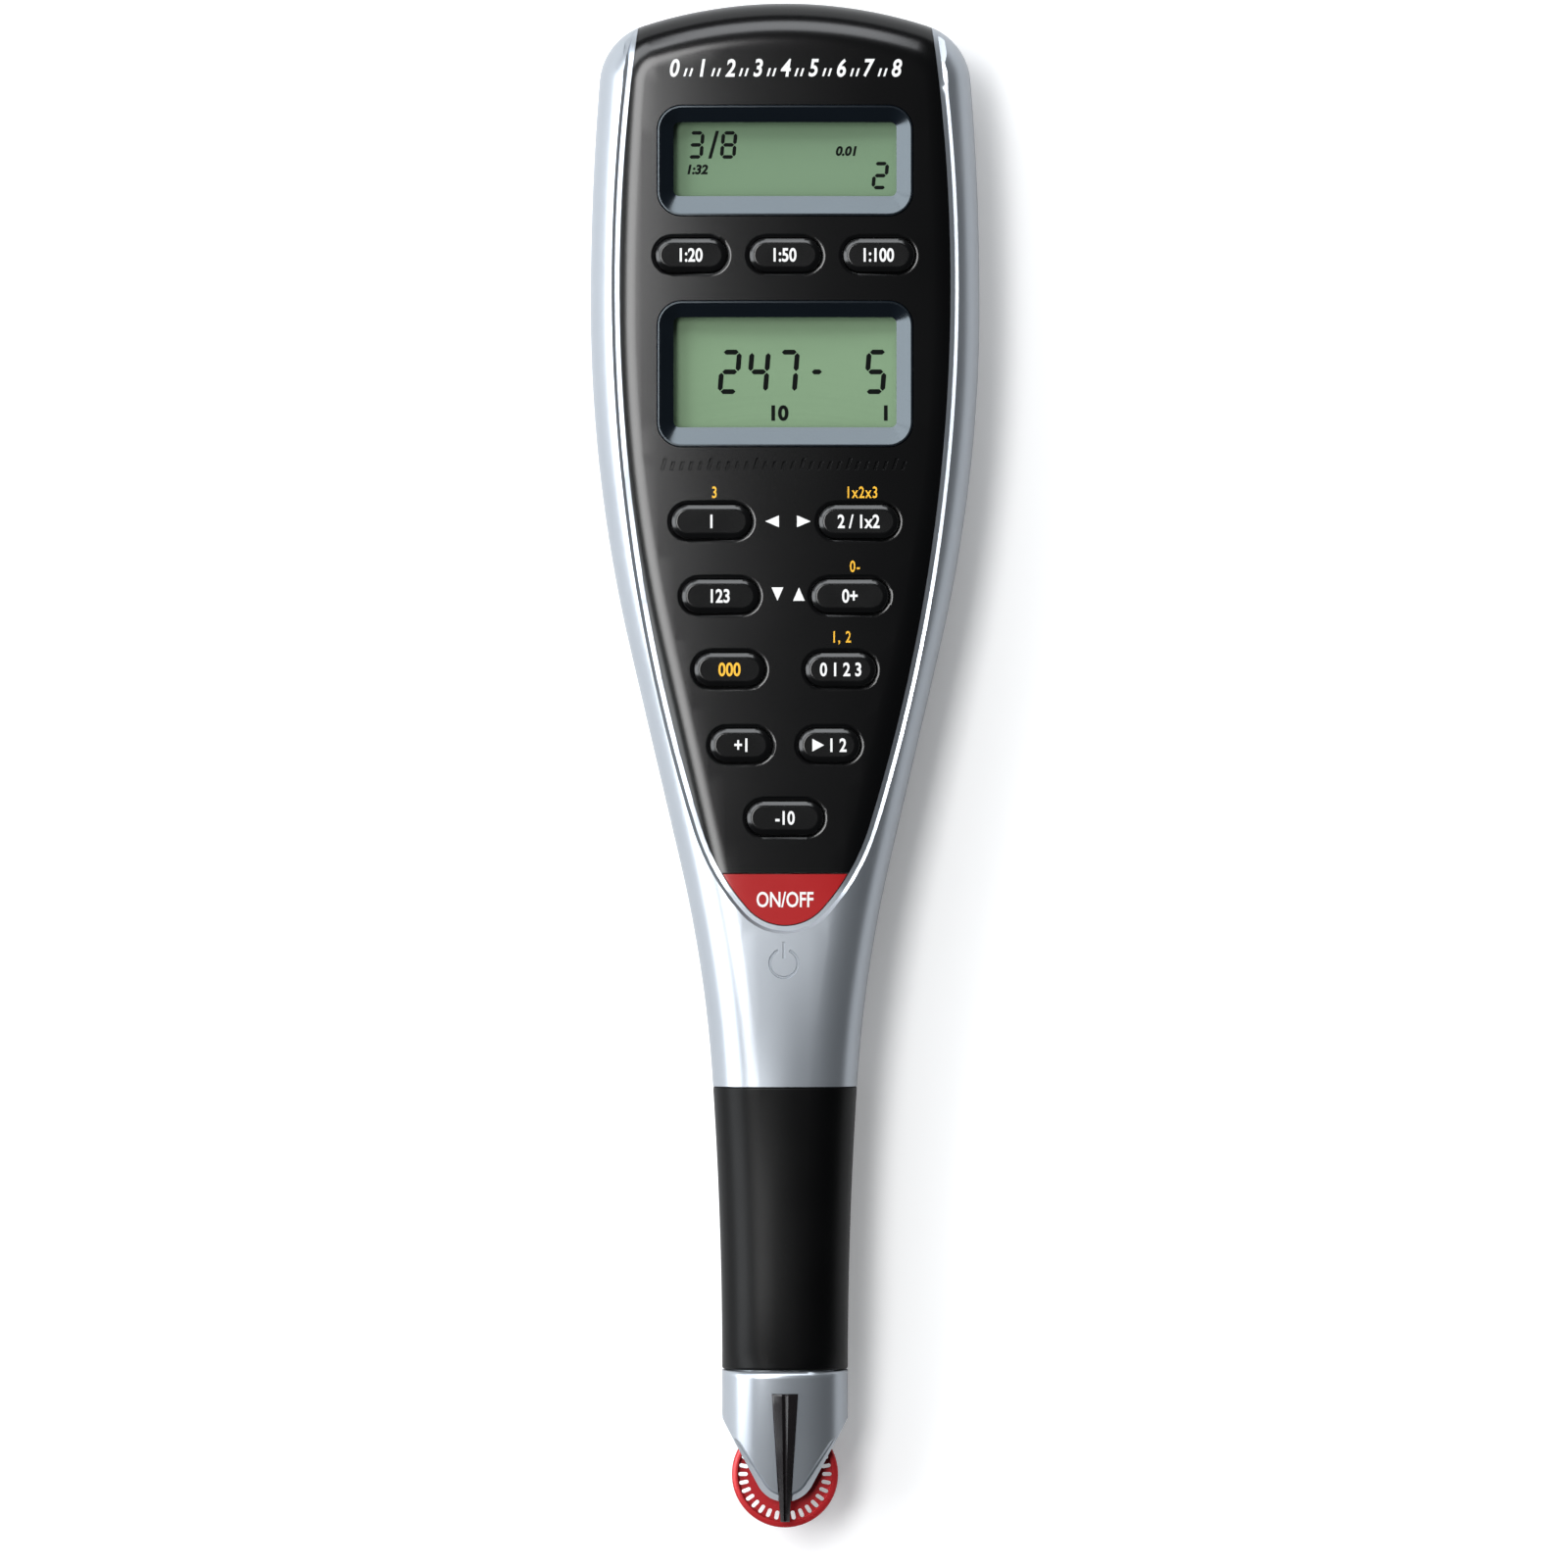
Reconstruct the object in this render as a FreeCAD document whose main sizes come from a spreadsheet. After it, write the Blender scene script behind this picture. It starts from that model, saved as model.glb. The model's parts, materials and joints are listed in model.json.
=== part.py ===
"""Digital plan measure: a hand-held roller gauge with two displays, thirteen keys and a measuring wheel.

The instrument lies on its back. X runs across it, Y along it towards the display head, and Z out of its face.
The origin is under the middle of its length, on the surface that it lies on.
"""
import FreeCAD, Part
import math
import os
import re
import Sketcher

Vector = FreeCAD.Vector
doc = FreeCAD.newDocument("PlanMeasure")

# Driving sizes, in millimetres and degrees
SIZES = {
    # Plan outline, from the top end down to the grip
    "top_end": 90.9,
    "top_radius": 55.5,
    "shoulder_radius": 7.5,
    "upper_side_radius": 330.0,
    "wide_place": 55.0,
    "half_width": 23.2,
    "lower_side_radius": 180.0,
    "flank_angle": 13.2,
    "neck_radius": 157.0,
    "grip_side_radius": 523.0,
    "grip_half_width": 7.5,
    "grip_place": -72.0,
    # Side profile
    "head_height": 15.75,
    "grip_height": 14.4,
    "nose_height": 9.6,
    "crown_radius": 230.0,
    "grip_crown_radius": 17.0,
    "back_relief": 0.05,
    "grip_lift": 1.0,
    "nose_lift": 5.4,
    "level_start": -20.0,
    "level_end": -28.0,
    "grip_slope_place": -44.7,
    "grip_level_place": -60.3,
    "nose_slope_place": -74.1,
    "parting_height": 8.0,
    "edge_round": 5.5,
    # Walls of the case
    "side_wall": 1.6,
    "end_wall": 2.6,
    "face_wall": 2.6,
    "lip_height": 0.8,
    "lip_wall": 0.8,
    "fit_gap": 0.1,
    "plate_gap": 0.05,
    # Face plate and the stepped border round it
    "panel_half_width": 19.7,
    "panel_wide_place": 57.0,
    "panel_side_radius": 218.0,
    "panel_corner_radius": 26.0,
    "panel_tip_radius": 6.0,
    "panel_tip": -19.05,
    "border_width": 0.75,
    "border_step": 0.35,
    "plate_thickness": 1.4,
    "plate_foot": 9.6,
    # Windows of the two displays
    "window_half_width": 15.28,
    "window_corner": 3.0,
    "view_half_width": 13.26,
    "view_corner": 0.7,
    "view_shift": 0.2,
    "upper_window_place": 71.95,
    "upper_window_size": 13.3,
    "upper_view_size": 8.8,
    "lower_window_place": 46.6,
    "lower_window_size": 17.5,
    "lower_view_size": 13.1,
    "bezel_foot": 12.4,
    "bezel_wall": 0.3,
    "lens_thickness": 0.9,
    "lens_margin": 1.0,
    "display_thickness": 1.9,
    "display_margin": 1.3,
    "holder_wall": 0.9,
    "strip_width": 1.4,
    # Keys
    "key_width": 4.0,
    "key_rise": 0.55,
    "key_round": 0.45,
    "key_gap": 0.15,
    "well_chamfer": 0.35,
    "flange_reach": 0.6,
    "flange_thickness": 0.7,
    "first_row_place": 60.7,
    "first_row_spread": 11.15,
    "first_row_length": 8.5,
    "second_row_place": 29.03,
    "second_row_spread": 8.75,
    "second_row_length": 9.5,
    "third_row_place": 20.17,
    "third_row_spread": 7.7,
    "third_row_length": 9.15,
    "fourth_row_place": 11.44,
    "fourth_row_spread": 6.6,
    "fourth_row_length": 8.4,
    "fifth_row_place": 2.45,
    "fifth_row_spread": 5.25,
    "fifth_row_length": 7.3,
    "sixth_row_place": -6.2,
    "sixth_row_length": 9.1,
    "power_key_edge": -12.73,
    # Circuit board and key mats
    "board_thickness": 1.0,
    "board_top": 8.6,
    "board_end": -31.0,
    "board_gap": 0.3,
    "mat_thickness": 0.6,
    "dome_radius": 1.9,
    "dome_head_radius": 1.2,
    "mat_margin": 3.6,
    "mat_border": 1.4,
    "mat_tip": -21.05,
    "power_dome_place": -15.29,
    "processor_place": 24.0,
    "processor_size": 10.0,
    "processor_height": 1.4,
    "crystal_radius": 1.0,
    "crystal_length": 6.0,
    "chip_pitch": 3.2,
    "chip_width": 1.25,
    "chip_length": 2.0,
    "chip_height": 0.9,
    "connector_length": 4.0,
    "connector_height": 1.2,
    # Battery, its holder and its door
    "cell_radius": 10.0,
    "cell_thickness": 3.2,
    "cell_low": 1.7,
    "cell_place": 66.0,
    "cell_gap": 0.5,
    "holder_size": 24.0,
    "cell_chamfer": 0.3,
    "cell_rim": 1.4,
    "cell_cap_rise": 0.15,
    "contact_thickness": 0.3,
    "leaf_width": 4.0,
    "leaf_length": 14.0,
    "clip_width": 3.0,
    "door_half_width": 11.0,
    "door_thickness": 1.4,
    "door_front": 53.0,
    "door_recess": 0.1,
    "door_groove_start": 3.0,
    "door_groove_pitch": 1.2,
    "door_groove_width": 0.6,
    "door_groove_depth": 0.25,
    "tongue_reach": 0.8,
    "tongue_thickness": 0.7,
    # Computer jack in the top end
    "jack_height": 5.1,
    "jack_bore": 1.3,
    "jack_barrel": 2.2,
    "jack_gap": 0.05,
    "jack_depth": 9.0,
    "jack_setback": 0.3,
    "jack_place": 84.2,
    "jack_width": 7.6,
    "jack_length": 5.8,
    # Case screws
    "screw_radius": 1.0,
    "screw_head_radius": 1.9,
    "screw_head_thickness": 1.3,
    "screw_seat": 3.2,
    "boss_wall": 1.2,
    "tower_wall": 1.0,
    "thread_gap": 0.05,
    "shank_gap": 0.15,
    "head_gap": 0.2,
    "screw_tip_gap": 0.6,
    "recess_width": 0.4,
    "upper_screw_spread": 17.2,
    "upper_screw_place": 81.0,
    "lower_screw_spread": 10.4,
    "lower_screw_place": -3.0,
    # Grip sleeve
    "sleeve_start": -38.2,
    "sleeve_end": -72.1,
    "sleeve_wall": 1.2,
    "sleeve_step": 2.0,
    "spigot_wall": 1.4,
    # Nose
    "nose_corner": -77.8,
    "nose_tip_place": -84.1,
    "nose_tip_radius": 3.63,
    "nose_flare_width": 1.0,
    "nose_flare_length": 2.2,
    "facet_width": 0.7,
    "facet_slope": 0.35,
    "facet_low": 2.75,
    "facet_high": 3.35,
    "rear_facet_width": 0.88,
    "rear_facet_low": 2.0,
    "rear_facet_high": 4.4,
    "tail_length": 6.0,
    "nose_screw_radius": 0.8,
    "nose_screw_head_radius": 1.4,
    "nose_screw_head_thickness": 1.0,
    "nose_screw_spread": 5.0,
    "nose_screw_place": -75.0,
    "nose_screw_seat": 3.6,
    "nose_screw_end": 11.0,
    # Measuring wheel on its pin
    "wheel_place": -84.55,
    "wheel_radius": 6.35,
    "wheel_thickness": 2.4,
    "web_thickness": 1.0,
    "rim_width": 0.75,
    "hub_radius": 2.6,
    "slot_inner_radius": 4.45,
    "slot_width": 0.5,
    "slot_count": 32,
    "bush_radius": 1.6,
    "pin_radius": 0.75,
    "pin_length": 4.8,
    "running_gap": 0.03,
    "wheel_chamfer": 0.2,
    "pin_chamfer": 0.15,
    "wheel_gap": 0.3,
    "wheel_rim_gap": 0.4,
    "wheel_guard": 5.0,
    # Pointer over the wheel
    "pointer_start": -74.8,
    "pointer_middle": -82.0,
    "pointer_end": -90.15,
    "pointer_start_width": 3.04,
    "pointer_end_width": 1.12,
    "pointer_sink": 1.0,
    "pointer_rise": 0.35,
    "pointer_lift": 0.1,
    "pointer_ridge_share": 0.12,
    "pointer_tip_low": 9.75,
    "pointer_tip_thickness": 0.9,
    # Optical sensor, its board and its flat cable
    "sensor_width": 4.4,
    "sensor_arm": 1.1,
    "sensor_start": -74.0,
    "sensor_end": -80.6,
    "sensor_gap": 0.3,
    "sensor_board_width": 6.4,
    "sensor_board_length": 6.5,
    "sensor_board_low": 7.2,
    "sensor_board_thickness": 0.7,
    "cable_width": 4.0,
    "cable_thickness": 0.2,
}

sheet = doc.addObject("Spreadsheet::Sheet", "Sizes")
for row, (alias, value) in enumerate(SIZES.items(), 1):
    sheet.set("A%d" % row, alias)
    sheet.set("B%d" % row, str(value))
    sheet.setAlias("B%d" % row, alias)
doc.recompute()


def size(alias):
    return float(sheet.get(alias))


def tied(text):
    """An expression in which each size name points at its cell of the sheet."""
    return re.sub(r"[a-z_]+", lambda word: "Sizes." + word.group() if word.group() in SIZES else word.group(), text)


def ray(angle):
    return Vector(math.cos(angle), math.sin(angle), 0)


def arc(centre, radius, start, end):
    points = [centre + ray(angle) * radius for angle in (start, 0.5 * (start + end), end)]
    return Part.Arc(*points).toShape()


def line(start, end):
    return Part.LineSegment(start, end).toShape()


def towards(centre, target):
    return math.atan2(target.y - centre.y, target.x - centre.x)


def centre_between(first, first_distance, second, second_distance):
    """The upper of the two points at given distances from two centres: a third arc's centre, tangent to both."""
    gap = second - first
    along = (first_distance**2 - second_distance**2 + gap.Length**2) / (2 * gap.Length)
    aside = math.sqrt(first_distance**2 - along**2)
    unit = gap * (1 / gap.Length)
    normal = Vector(-unit.y, unit.x, 0)
    points = [first + unit * along + normal * aside, first + unit * along - normal * aside]
    return max(points, key=lambda point: point.y)


def mirrored_face(right_edges, closing=()):
    """A face from the edges on the right of the middle line, their mirror images and any edges that close it."""
    left_edges = [edge.mirror(Vector(0, 0, 0), Vector(1, 0, 0)) for edge in right_edges]
    edges = list(right_edges) + left_edges + list(closing)
    return Part.Face(Part.Wire(Part.__sortEdges__(edges)))


# Plan outline of the case, as arcs that run smoothly into each other
BOTTOM_END = size("wheel_place") - size("wheel_radius") - size("wheel_guard")
# Cutting shapes reach this far past what they cut
OVER = 5.0


def outline_face(side=0.0, end=0.0):
    """The plan outline, drawn in by one distance at the sides and another at the top end."""
    flank = math.radians(size("flank_angle"))
    shoulder_radius = size("shoulder_radius") - 0.5 * (side + end)
    top_centre = Vector(0, size("top_end") - size("top_radius"), 0)
    upper_centre = Vector(size("half_width") - size("upper_side_radius"), size("wide_place"), 0)
    lower_centre = Vector(size("half_width") - size("lower_side_radius"), size("wide_place"), 0)
    grip_centre = Vector(size("grip_half_width") + size("grip_side_radius"), size("grip_place"), 0)
    top_radius = size("top_radius") - end
    upper_radius = size("upper_side_radius") - side
    shoulder = centre_between(top_centre, top_radius - shoulder_radius, upper_centre, upper_radius - shoulder_radius)
    down = Vector(-math.sin(flank), -math.cos(flank), 0)
    outward = ray(-flank)
    flank_start = lower_centre + outward * size("lower_side_radius")
    to_grip = grip_centre - flank_start - outward * size("neck_radius")
    reach = size("grip_side_radius") - size("neck_radius")
    run = to_grip.dot(down) + math.sqrt(to_grip.dot(down) ** 2 - to_grip.Length**2 + reach**2)
    neck_centre = flank_start + outward * size("neck_radius") + down * run
    top_turn = towards(top_centre, shoulder)
    side_turn = towards(upper_centre, shoulder)
    neck_turn = towards(grip_centre, neck_centre) % (2 * math.pi)
    grip_end = Vector(size("grip_half_width") - side, size("grip_place"), 0)
    corner = Vector(grip_end.x, BOTTOM_END, 0)
    right = [
        arc(top_centre, top_radius, math.pi / 2, top_turn),
        arc(shoulder, shoulder_radius, top_turn, side_turn),
        arc(upper_centre, upper_radius, side_turn, 0),
        arc(lower_centre, size("lower_side_radius") - side, 0, -flank),
        line(flank_start - outward * side, flank_start + down * run - outward * side),
        arc(neck_centre, size("neck_radius") + side, math.pi - flank, neck_turn),
        arc(grip_centre, size("grip_side_radius") + side, neck_turn, math.pi),
        line(grip_end, corner),
    ]
    return mirrored_face(right, [line(corner, Vector(-corner.x, corner.y, 0))])


def panel_face(border=0.0):
    """The outline of the face plate and the power key, open past the top end and widened by a border."""
    tip_centre = Vector(0, size("panel_tip") + size("panel_tip_radius"), 0)
    side_centre = Vector(size("panel_half_width") - size("panel_side_radius"), size("panel_wide_place"), 0)
    tip_radius = size("panel_tip_radius") + border
    corner_radius = size("panel_corner_radius") + border
    side_radius = size("panel_side_radius") + border
    reaches = [corner_radius - tip_radius, side_radius - corner_radius]
    corner_centre = centre_between(tip_centre, reaches[0], side_centre, reaches[1])
    tip_turn = towards(corner_centre, tip_centre)
    side_turn = towards(side_centre, corner_centre)
    top = math.asin((size("top_end") + OVER - size("panel_wide_place")) / side_radius)
    right = [
        arc(tip_centre, tip_radius, -math.pi / 2, tip_turn),
        arc(corner_centre, corner_radius, tip_turn, side_turn),
        arc(side_centre, side_radius, side_turn, top),
    ]
    corner = side_centre + ray(top) * side_radius
    return mirrored_face(right, [line(corner, Vector(-corner.x, corner.y, 0))])


# Front and rear surfaces, curved along the case and crowned across it
HEAD_CROWN = 0.5 / size("crown_radius")
GRIP_CROWN = 0.5 / size("grip_crown_radius")
FAR_TOP = size("top_end") + 2 * OVER
HEAD_HEIGHT = size("head_height")
GRIP_HEIGHT = size("grip_height")
GRIP_LIFT = size("grip_lift")
BACK_DROP = -size("back_relief")
STATIONS = [
    # place along Y, front height, front crown, rear lift
    (FAR_TOP, HEAD_HEIGHT, HEAD_CROWN, BACK_DROP),
    (0, HEAD_HEIGHT, HEAD_CROWN, BACK_DROP),
    (size("level_start"), HEAD_HEIGHT, HEAD_CROWN, BACK_DROP),
    (size("level_end"), HEAD_HEIGHT, HEAD_CROWN, BACK_DROP),
    (size("grip_slope_place"), GRIP_HEIGHT, GRIP_CROWN, GRIP_LIFT),
    (size("grip_level_place"), GRIP_HEIGHT, GRIP_CROWN, GRIP_LIFT),
    (size("nose_slope_place"), GRIP_HEIGHT, GRIP_CROWN, GRIP_LIFT),
    (BOTTOM_END, size("nose_height"), GRIP_CROWN, size("nose_lift")),
]
HALF_SPAN = size("half_width") + 2 * OVER
CEILING = HEAD_HEIGHT + OVER
REACH = 3 * HEAD_HEIGHT


def surface(rows, degree_across):
    """A B-spline surface through rows of poles, one row per pole across the case."""
    result = Part.BSplineSurface()
    count = len(STATIONS)
    knots = [float(number) for number in range(count - 2)]
    along = [4] + [1] * (count - 4) + [4]
    across = degree_across + 1
    result.buildFromPolesMultsKnots(rows, [across, across], along, [0, 1], knots, False, False, degree_across, 3)
    return result


def front_surface(drop=0.0):
    """Across, each pole row is a parabola whose top is the height at that place."""
    rows = []
    for side in (-1, 0, 1):
        bow = HALF_SPAN**2 * (1 if side == 0 else -1)
        rows.append([Vector(side * HALF_SPAN, y, height - drop + crown * bow) for y, height, crown, _ in STATIONS])
    return surface(rows, 2)


def rear_surface(lift=0.0):
    return surface([[Vector(side * HALF_SPAN, y, rise + lift) for y, _, _, rise in STATIONS] for side in (-1, 1)], 1)


def front_height(x, y):
    """Height of the outer front surface over a point of the plan."""
    plumb = line(Vector(x, y, 0), Vector(x, y, 2 * HEAD_HEIGHT))
    return plumb.distToShape(front_surface().toShape())[1][0][1].z


def rounded_prism(plan, skin, reach, radius):
    """The plan outline raised to a curved skin, with the edge where they meet rounded."""
    solid = plan.extrude(reach).common(skin.toShape().extrude(reach * -1)).Solids[0]
    curved = [face for face in solid.Faces if isinstance(face.Surface, Part.BSplineSurface)][0]
    edges = [edge for edge in curved.Edges if edge.BoundBox.YMax > BOTTOM_END + 0.01]
    return solid.makeFillet(radius, edges)


def front_form(side=0.0, end=0.0, drop=0.0):
    """The front of the case as a solid, drawn in at the sides, at the top end and under the face."""
    plan = outline_face(side, end)
    plan.translate(Vector(0, 0, -OVER))
    return rounded_prism(plan, front_surface(drop), Vector(0, 0, REACH), size("edge_round") - side)


def rear_form(side=0.0, end=0.0, lift=0.0):
    plan = outline_face(side, end)
    plan.translate(Vector(0, 0, CEILING))
    return rounded_prism(plan, rear_surface(lift), Vector(0, 0, -REACH), size("edge_round") - side)


def box(x_low, x_high, y_low, y_high, z_low, z_high):
    return Part.makeBox(x_high - x_low, y_high - y_low, z_high - z_low, Vector(x_low, y_low, z_low))


def slab(y_low, y_high, z_low, z_high, half=HALF_SPAN):
    """A box across the whole case, or of the given half width."""
    return box(-half, half, y_low, y_high, z_low, z_high)


def prism(face, z_low, z_high):
    solid = face.extrude(Vector(0, 0, z_high - z_low))
    solid.translate(Vector(0, 0, z_low))
    return solid


def cylinder(radius, x, y, z_low, z_high):
    return Part.makeCylinder(radius, z_high - z_low, Vector(x, y, z_low))


def feature(label, shape):
    item = doc.addObject("Part::Feature", label)
    item.Shape = shape
    item.Label = label
    NODES[label] = item
    return item


NODES = {}
PARTING = size("parting_height")
TOP = size("top_end") + OVER
GRIP_TOP = size("sleeve_start")
GRIP_END = size("sleeve_end")
GRIP_STEP = GRIP_TOP + size("sleeve_step")
BOARD_TOP = size("board_top")
BOARD_LOW = BOARD_TOP - size("board_thickness")
GAP = size("fit_gap")
STEP = size("border_step")
SPIGOT = size("sleeve_wall")
BORE = size("sleeve_wall") + size("spigot_wall")
CASE_SCREWS = [
    (side * size(row + "_screw_spread"), size(row + "_screw_place")) for row in ("upper", "lower") for side in (-1, 1)
]
LIP_SIDE = size("side_wall") - size("lip_wall")
LIP_END = size("end_wall") - size("lip_wall")
NOSE_SCREWS = [(side * size("nose_screw_spread"), size("nose_screw_place")) for side in (-1, 1)]

# Nested solids of the front and of the rear: skin, inside of the case, outside and inside of the grip tube
front_skin = front_form()
front_inside = front_form(size("side_wall"), size("end_wall"), size("face_wall"))
front_tube = front_form(SPIGOT, SPIGOT, SPIGOT)
front_bore = front_form(BORE, BORE, BORE)
border_skin = front_form(STEP, 0, STEP)
plate_seat = front_form(STEP + size("plate_thickness"), size("plate_thickness"), STEP + size("plate_thickness"))
under_face = front_form(size("side_wall") + GAP, size("end_wall") + GAP, size("face_wall") + GAP)
rear_skin = rear_form().common(slab(BOTTOM_END, TOP, 0, CEILING))
rear_inside = rear_form(size("side_wall"), size("end_wall"), size("face_wall"))
rear_tube = rear_form(SPIGOT, SPIGOT, SPIGOT)
rear_bore = rear_form(BORE, BORE, BORE)


def half_case(skin, inside, tube, bore, z_low, z_high):
    """One half of the hollow case: the head, and the thinner half tube that the sleeve covers."""
    head = skin.common(slab(GRIP_TOP, TOP, z_low, z_high)).cut(inside.common(slab(GRIP_STEP, TOP, -OVER, CEILING)))
    grip = tube.common(slab(GRIP_END, GRIP_TOP, z_low, z_high))
    return head.fuse(grip).cut(bore.common(slab(GRIP_END - OVER, GRIP_STEP, -OVER, CEILING)))


def rounded_wire(half_x, half_y, corner, y, z):
    """A rectangle with round corners, drawn about the middle line."""
    points = []
    for x_sign, y_sign, start in ((1, 1, 0), (-1, 1, 90), (-1, -1, 180), (1, -1, 270)):
        centre = Vector(x_sign * (half_x - corner), y + y_sign * (half_y - corner), z)
        points.append([centre + ray(math.radians(start + turn)) * corner for turn in (0, 45, 90)])
    edges = []
    for number, corner_points in enumerate(points):
        edges.append(Part.Arc(*corner_points).toShape())
        edges.append(line(corner_points[2], points[(number + 1) % 4][0]))
    return Part.Wire(edges)


def pill_wire(length, width, x, y, z):
    radius = 0.5 * width
    reach = 0.5 * length - radius
    points = []
    for sign, start in ((1, -90), (-1, 90)):
        centre = Vector(x + sign * reach, y, z)
        points.append([centre + ray(math.radians(start + turn)) * radius for turn in (0, 90, 180)])
    arcs = [Part.Arc(*turn_points).toShape() for turn_points in points]
    joins = [line(points[0][2], points[1][0]), line(points[1][2], points[0][0])]
    return Part.Wire([arcs[0], joins[0], arcs[1], joins[1]])


def prism_of(wire, height):
    return Part.Face(wire).extrude(Vector(0, 0, height))


WINDOWS = {}
for name in ("upper", "lower"):
    place = size(name + "_window_place")
    WINDOWS[name] = (place, 0.5 * size(name + "_window_size"), 0.5 * size(name + "_view_size"))

# Every face key: its row, the side of the middle line it is on, and whether the row has one key in the middle
KEYS = {
    "scale_a_key": ("first", -1),
    "scale_b_key": ("first", 0),
    "scale_c_key": ("first", 1),
    "length_key": ("second", -1),
    "area_key": ("second", 1),
    "recall_key": ("third", -1),
    "memory_key": ("third", 1),
    "set_key": ("fourth", -1),
    "count_key": ("fourth", 1),
    "constant_key": ("fifth", -1),
    "send_key": ("fifth", 1),
    "subtract_key": ("sixth", 0),
}


def window_hole(name):
    place, half, _ = WINDOWS[name]
    wire = rounded_wire(size("window_half_width"), half, size("window_corner"), place, BOARD_TOP)
    return prism_of(wire, CEILING - BOARD_TOP)


def key_hole(row, side):
    """The hole for a key, with a chamfered mouth in the face plate."""
    x = side * size(row + "_row_spread") if side else 0.0
    y = size(row + "_row_place")
    length = size(row + "_row_length") + 2 * size("key_gap")
    width = size("key_width") + 2 * size("key_gap")
    chamfer = size("well_chamfer")
    surface_height = HEAD_HEIGHT - STEP - HEAD_CROWN * x**2
    shaft = prism_of(pill_wire(length, width, x, y, BOARD_TOP), CEILING)
    low = pill_wire(length, width, x, y, surface_height - chamfer)
    high = pill_wire(length + 4 * chamfer, width + 4 * chamfer, x, y, surface_height + chamfer)
    return shaft.fuse(Part.makeLoft([low, high], True, True))


key_holes = [key_hole(row, side) for row, side in KEYS.values()]
window_holes = [window_hole(name) for name in WINDOWS]
POWER_ROOM = slab(size("panel_tip") - OVER, size("power_key_edge"), 0, CEILING)
power_hole = prism(panel_face(), BOARD_TOP, CEILING).common(POWER_ROOM)


def ring_prism(outer, inner, z_low, z_high):
    return prism(outer, z_low, z_high).cut(prism(inner, z_low - OVER, z_high + OVER))


inside_plan = outline_face(size("side_wall"), size("end_wall"))


def case_screw_end(x, y):
    return front_height(x, y) - size("face_wall") - size("screw_tip_gap")


def front_shell():
    shell = half_case(front_skin, front_inside, front_tube, front_bore, PARTING, CEILING)
    border = prism(panel_face(size("border_width")), PARTING, CEILING).cut(border_skin)
    seat = prism(panel_face(), size("plate_foot") - GAP, CEILING).cut(plate_seat)
    lip_plan = outline_face(LIP_SIDE - GAP, LIP_END - GAP)
    lip_room = ring_prism(lip_plan, inside_plan, PARTING - OVER, PARTING + size("lip_height") + GAP)
    lip_room = lip_room.common(slab(GRIP_STEP - GAP, TOP, 0, CEILING))
    bosses = []
    pilots = []
    for x, y in CASE_SCREWS:
        wall_height = front_height(x, y) - size("face_wall")
        bosses.append(cylinder(size("screw_radius") + size("boss_wall"), x, y, BOARD_TOP, wall_height + GAP))
        pilots.append(cylinder(size("screw_radius") + size("thread_gap"), x, y, 0, case_screw_end(x, y) + GAP))
    return shell.fuse(bosses).cut([border, seat, power_hole, lip_room] + window_holes + key_holes + pilots)


def door_shape(half_width, front, low, gap):
    """The battery door or, with a gap, the room for it: a plate with a tongue along each side."""
    high = size("door_recess") + size("door_thickness") + gap
    plate = slab(front - gap, TOP, low, high, half_width + gap)
    tongue_low = size("door_recess") + size("door_thickness") - size("tongue_thickness") - gap
    tongues = slab(front - gap, TOP, tongue_low, high, half_width + size("tongue_reach") + gap)
    return plate.fuse(tongues)


def rear_shell():
    shell = half_case(rear_skin, rear_inside, rear_tube, rear_bore, -OVER, PARTING)
    lip_plan = outline_face(LIP_SIDE, LIP_END)
    lip = ring_prism(lip_plan, inside_plan, PARTING - LIP_END, PARTING + size("lip_height"))
    lip = lip.common(slab(GRIP_STEP, TOP, 0, CEILING))
    towers = []
    wells = []
    for x, y in CASE_SCREWS:
        tower = cylinder(size("screw_head_radius") + size("tower_wall"), x, y, 0.5 * size("face_wall"), BOARD_LOW)
        towers.append(tower.common(rear_skin))
        wells.append(cylinder(size("screw_radius") + size("shank_gap"), x, y, 0, BOARD_TOP))
        wells.append(cylinder(size("screw_head_radius") + size("head_gap"), x, y, -OVER, size("screw_seat")))
    door_room = door_shape(size("door_half_width"), size("door_front"), -OVER, GAP)
    cell_room = cylinder(size("cell_radius") + size("cell_gap"), 0, size("cell_place"), 0, size("face_wall") + GAP)
    jack_start = Vector(0, size("jack_place"), size("jack_height"))
    jack_room = Part.makeCylinder(size("jack_barrel") + size("jack_gap"), 2 * OVER, jack_start, Vector(0, 1, 0))
    return shell.fuse([lip] + towers).cut([door_room, cell_room, jack_room] + wells)


def face_plate():
    plate = prism(panel_face(-size("plate_gap")), size("plate_foot"), CEILING).common(border_skin).cut(plate_seat)
    plate = plate.common(slab(size("power_key_edge"), TOP, 0, CEILING))
    return plate.cut(window_holes + key_holes)


def power_key():
    edge = size("power_key_edge") - size("key_gap")
    below = slab(size("panel_tip") - OVER, edge, 0, CEILING)
    low = POWER_FLANGE_TOP - size("flange_thickness")
    cap = prism(panel_face(-size("key_gap")), low, CEILING).common(border_skin).common(below)
    flange = prism(panel_face(size("flange_reach")), low, CEILING)
    flange = flange.common(slab(size("panel_tip") - OVER, edge + size("flange_reach"), 0, CEILING))
    return cap.fuse(flange.common(under_face))


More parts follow.
